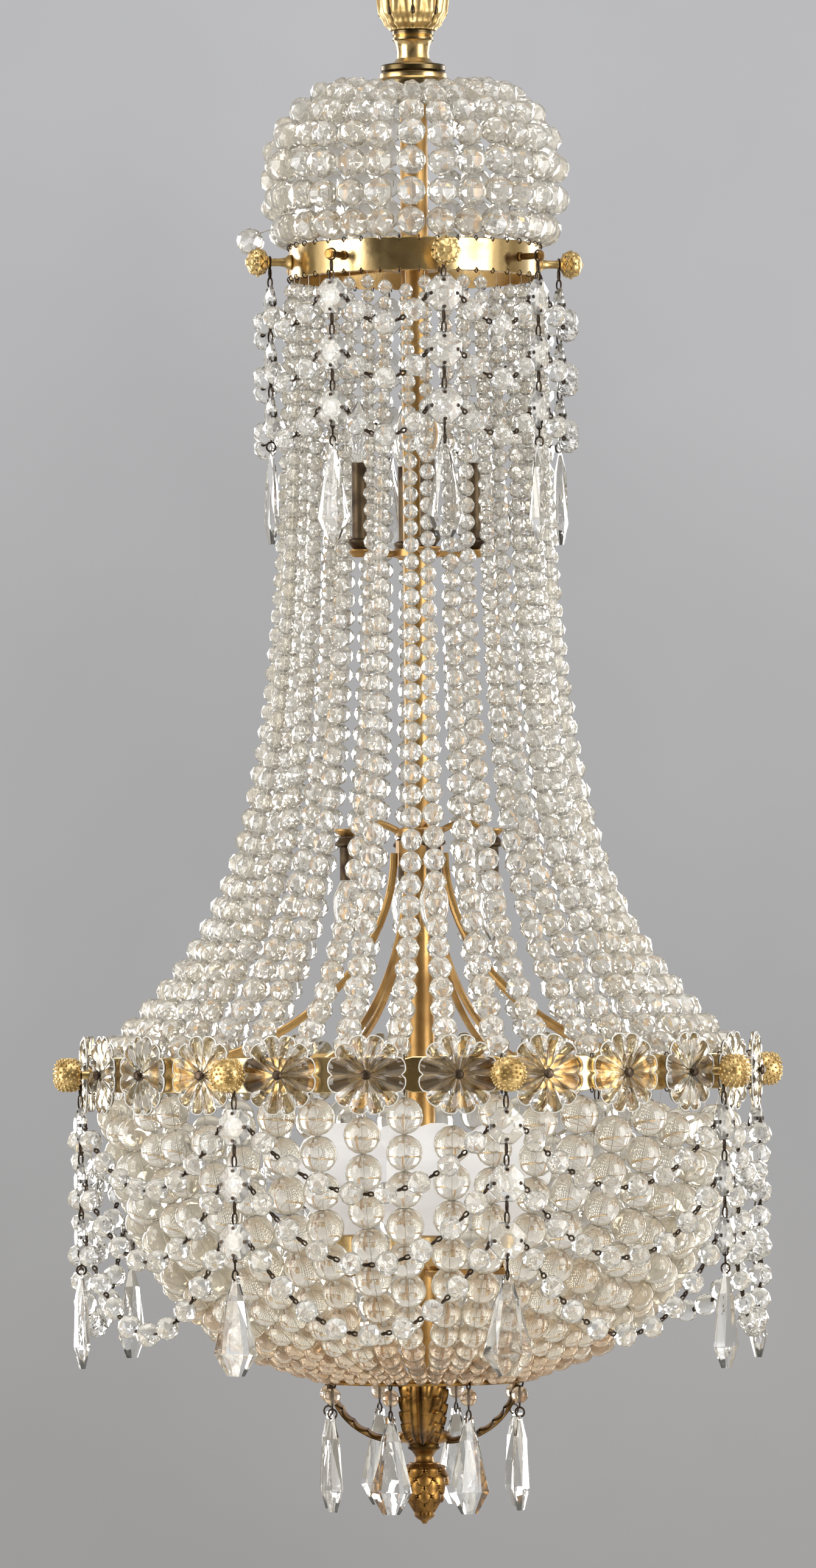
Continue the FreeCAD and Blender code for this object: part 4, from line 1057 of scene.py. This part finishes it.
def stage_finish(name, colour, glow=None):
    """A matt studio surface with a clear back, so that views from behind see past it. With a glow,
    two colours that blend from low to high, the camera, reflections and glass see it as those."""
    made, nodes, links, shader = material(name)
    shader.inputs["Roughness"].default_value = 0.9
    cloud = noise(nodes, links, 1.3, 5.0)
    links.new(ramp(nodes, links, cloud, ((0.3, tuple(0.92 * c for c in colour)), (0.7, colour))),
              shader.inputs["Base Color"])
    place = nodes.new("ShaderNodeNewGeometry")
    front = shader.outputs[0]
    if glow:
        height = share_of(nodes, links, place.outputs["Position"], "Z", -1.5, 0.5)
        shade = ramp(nodes, links, height, ((0.0, glow[0]), (1.0, glow[1])))
        mottled = ramp(nodes, links, cloud, ((0.3, grey(0.92)), (0.7, grey(1.06))))
        light = nodes.new("ShaderNodeEmission")
        links.new(multiply(nodes, links, shade, mottled), light.inputs["Color"])
        rays = nodes.new("ShaderNodeLightPath")
        seen = rays.outputs["Is Camera Ray"]
        for kind in ("Is Glossy Ray", "Is Transmission Ray"):
            either = nodes.new("ShaderNodeMath")
            either.operation = "MAXIMUM"
            links.new(seen, either.inputs[0])
            links.new(rays.outputs[kind], either.inputs[1])
            seen = either.outputs[0]
        mix = nodes.new("ShaderNodeMixShader")
        links.new(seen, mix.inputs["Fac"])
        links.new(front, mix.inputs[1])
        links.new(light.outputs[0], mix.inputs[2])
        front = mix.outputs[0]
    sides = nodes.new("ShaderNodeMixShader")
    links.new(place.outputs["Backfacing"], sides.inputs["Fac"])
    links.new(front, sides.inputs[1])
    links.new(nodes.new("ShaderNodeBsdfTransparent").outputs[0], sides.inputs[2])
    links.new(sides.outputs[0], nodes["Material Output"].inputs["Surface"])
    return made


def panel(name, corners, finish):
    mesh = bpy.data.meshes.new(name)
    mesh.from_pydata(corners, [], [tuple(range(len(corners)))])
    mesh.materials.append(finish)
    put(name, mesh)


def soft_box(name, azimuth, distance, height, width, tall, power):
    """A studio lamp that faces the object; azimuth 0 is the camera's side."""
    turn = math.radians(azimuth)
    light = bpy.data.lights.new(name, "AREA")
    light.shape = "RECTANGLE"
    light.size = width
    light.size_y = tall
    light.energy = power
    lamp = put(name, light)
    place = Vector((distance * math.sin(turn), -distance * math.cos(turn), height))
    lamp.location = place
    lamp.rotation_euler = (Vector((0, 0, -0.6)) - place).to_track_quat("-Z", "Y").to_euler()
    lamp.visible_camera = False


def room():
    """What the glass and brass reflect: cream light with khaki gaps, dim on the camera's side. The
    camera sees a plain grey."""
    world = bpy.data.worlds.new("studio")
    world.use_nodes = True
    nodes, links = world.node_tree.nodes, world.node_tree.links
    khaki, cream = (0.20, 0.17, 0.11), (0.97, 0.925, 0.83)
    cloud = noise(nodes, links, 2.6, 1.0, "Generated")
    patches = ramp(nodes, links, cloud, ((0.42, khaki), (0.54, cream)))
    mix = nodes.new("ShaderNodeMix")
    mix.data_type = "RGBA"
    mix.inputs["B"].default_value = (0.40, 0.40, 0.41, 1.0)
    way = nodes.new("ShaderNodeTexCoord").outputs["Generated"]
    back = share_of(nodes, links, way, "Y", -1.0, 1.0)
    dim = ramp(nodes, links, back, ((0.12, grey(0.3)), (0.4, grey(1.0))))
    links.new(nodes.new("ShaderNodeLightPath").outputs["Is Camera Ray"], mix.inputs["Factor"])
    links.new(multiply(nodes, links, patches, dim), mix.inputs["A"])
    links.new(mix.outputs["Result"], nodes["Background"].inputs["Color"])
    bpy.context.scene.world = world


def studio():
    backdrop = stage_finish("backdrop_paper", grey(0.5),
                            ((0.355, 0.348, 0.342), (0.515, 0.515, 0.53)))
    floor = stage_finish("floor_paint", (0.62, 0.60, 0.56))
    side, back, low, high = 9.0, 4.5, -2.2, 6.0
    panel("backdrop", [(-side, back, low), (side, back, low), (side, back, high),
                       (-side, back, high)], backdrop)
    panel("floor", [(-side, -side, low), (side, -side, low), (side, back, low),
                    (-side, back, low)], floor)
    soft_box("left_box", -66, 2.4, -0.5, 1.6, 2.6, 64)
    soft_box("right_box", 54, 2.6, -0.5, 1.5, 2.6, 64)
    soft_box("top_box", 10, 0.9, 1.9, 1.8, 1.8, 36)
    soft_box("left_rim", -140, 2.4, -0.4, 0.9, 2.2, 30)
    soft_box("right_rim", 140, 2.4, -0.4, 0.9, 2.2, 30)
    room()


def camera():
    data = bpy.data.cameras.new("camera")
    data.sensor_fit = "VERTICAL"
    data.sensor_height = 36.0
    data.lens = 205.7
    data.clip_end = 100.0
    view = put("camera", data)
    view.location = (-0.0078, -6.476, -0.776)
    pitch = Matrix.Rotation(math.radians(90.0 + 1.407), 4, "X")
    roll = Matrix.Rotation(math.radians(-0.45), 4, "Z")
    view.rotation_euler = (pitch @ roll).to_euler()
    bpy.context.scene.camera = view


hanging_eye()
acanthus_cup()
neck_and_canopy()
rings()
knobs()
rosettes()
stays()
lamps()
strings()
chains()
swags()
bottom_hooks()
leaf_straps()
finial()
dress_nodes()
studio()
camera()
bpy.context.scene.view_settings.view_transform = "Standard"
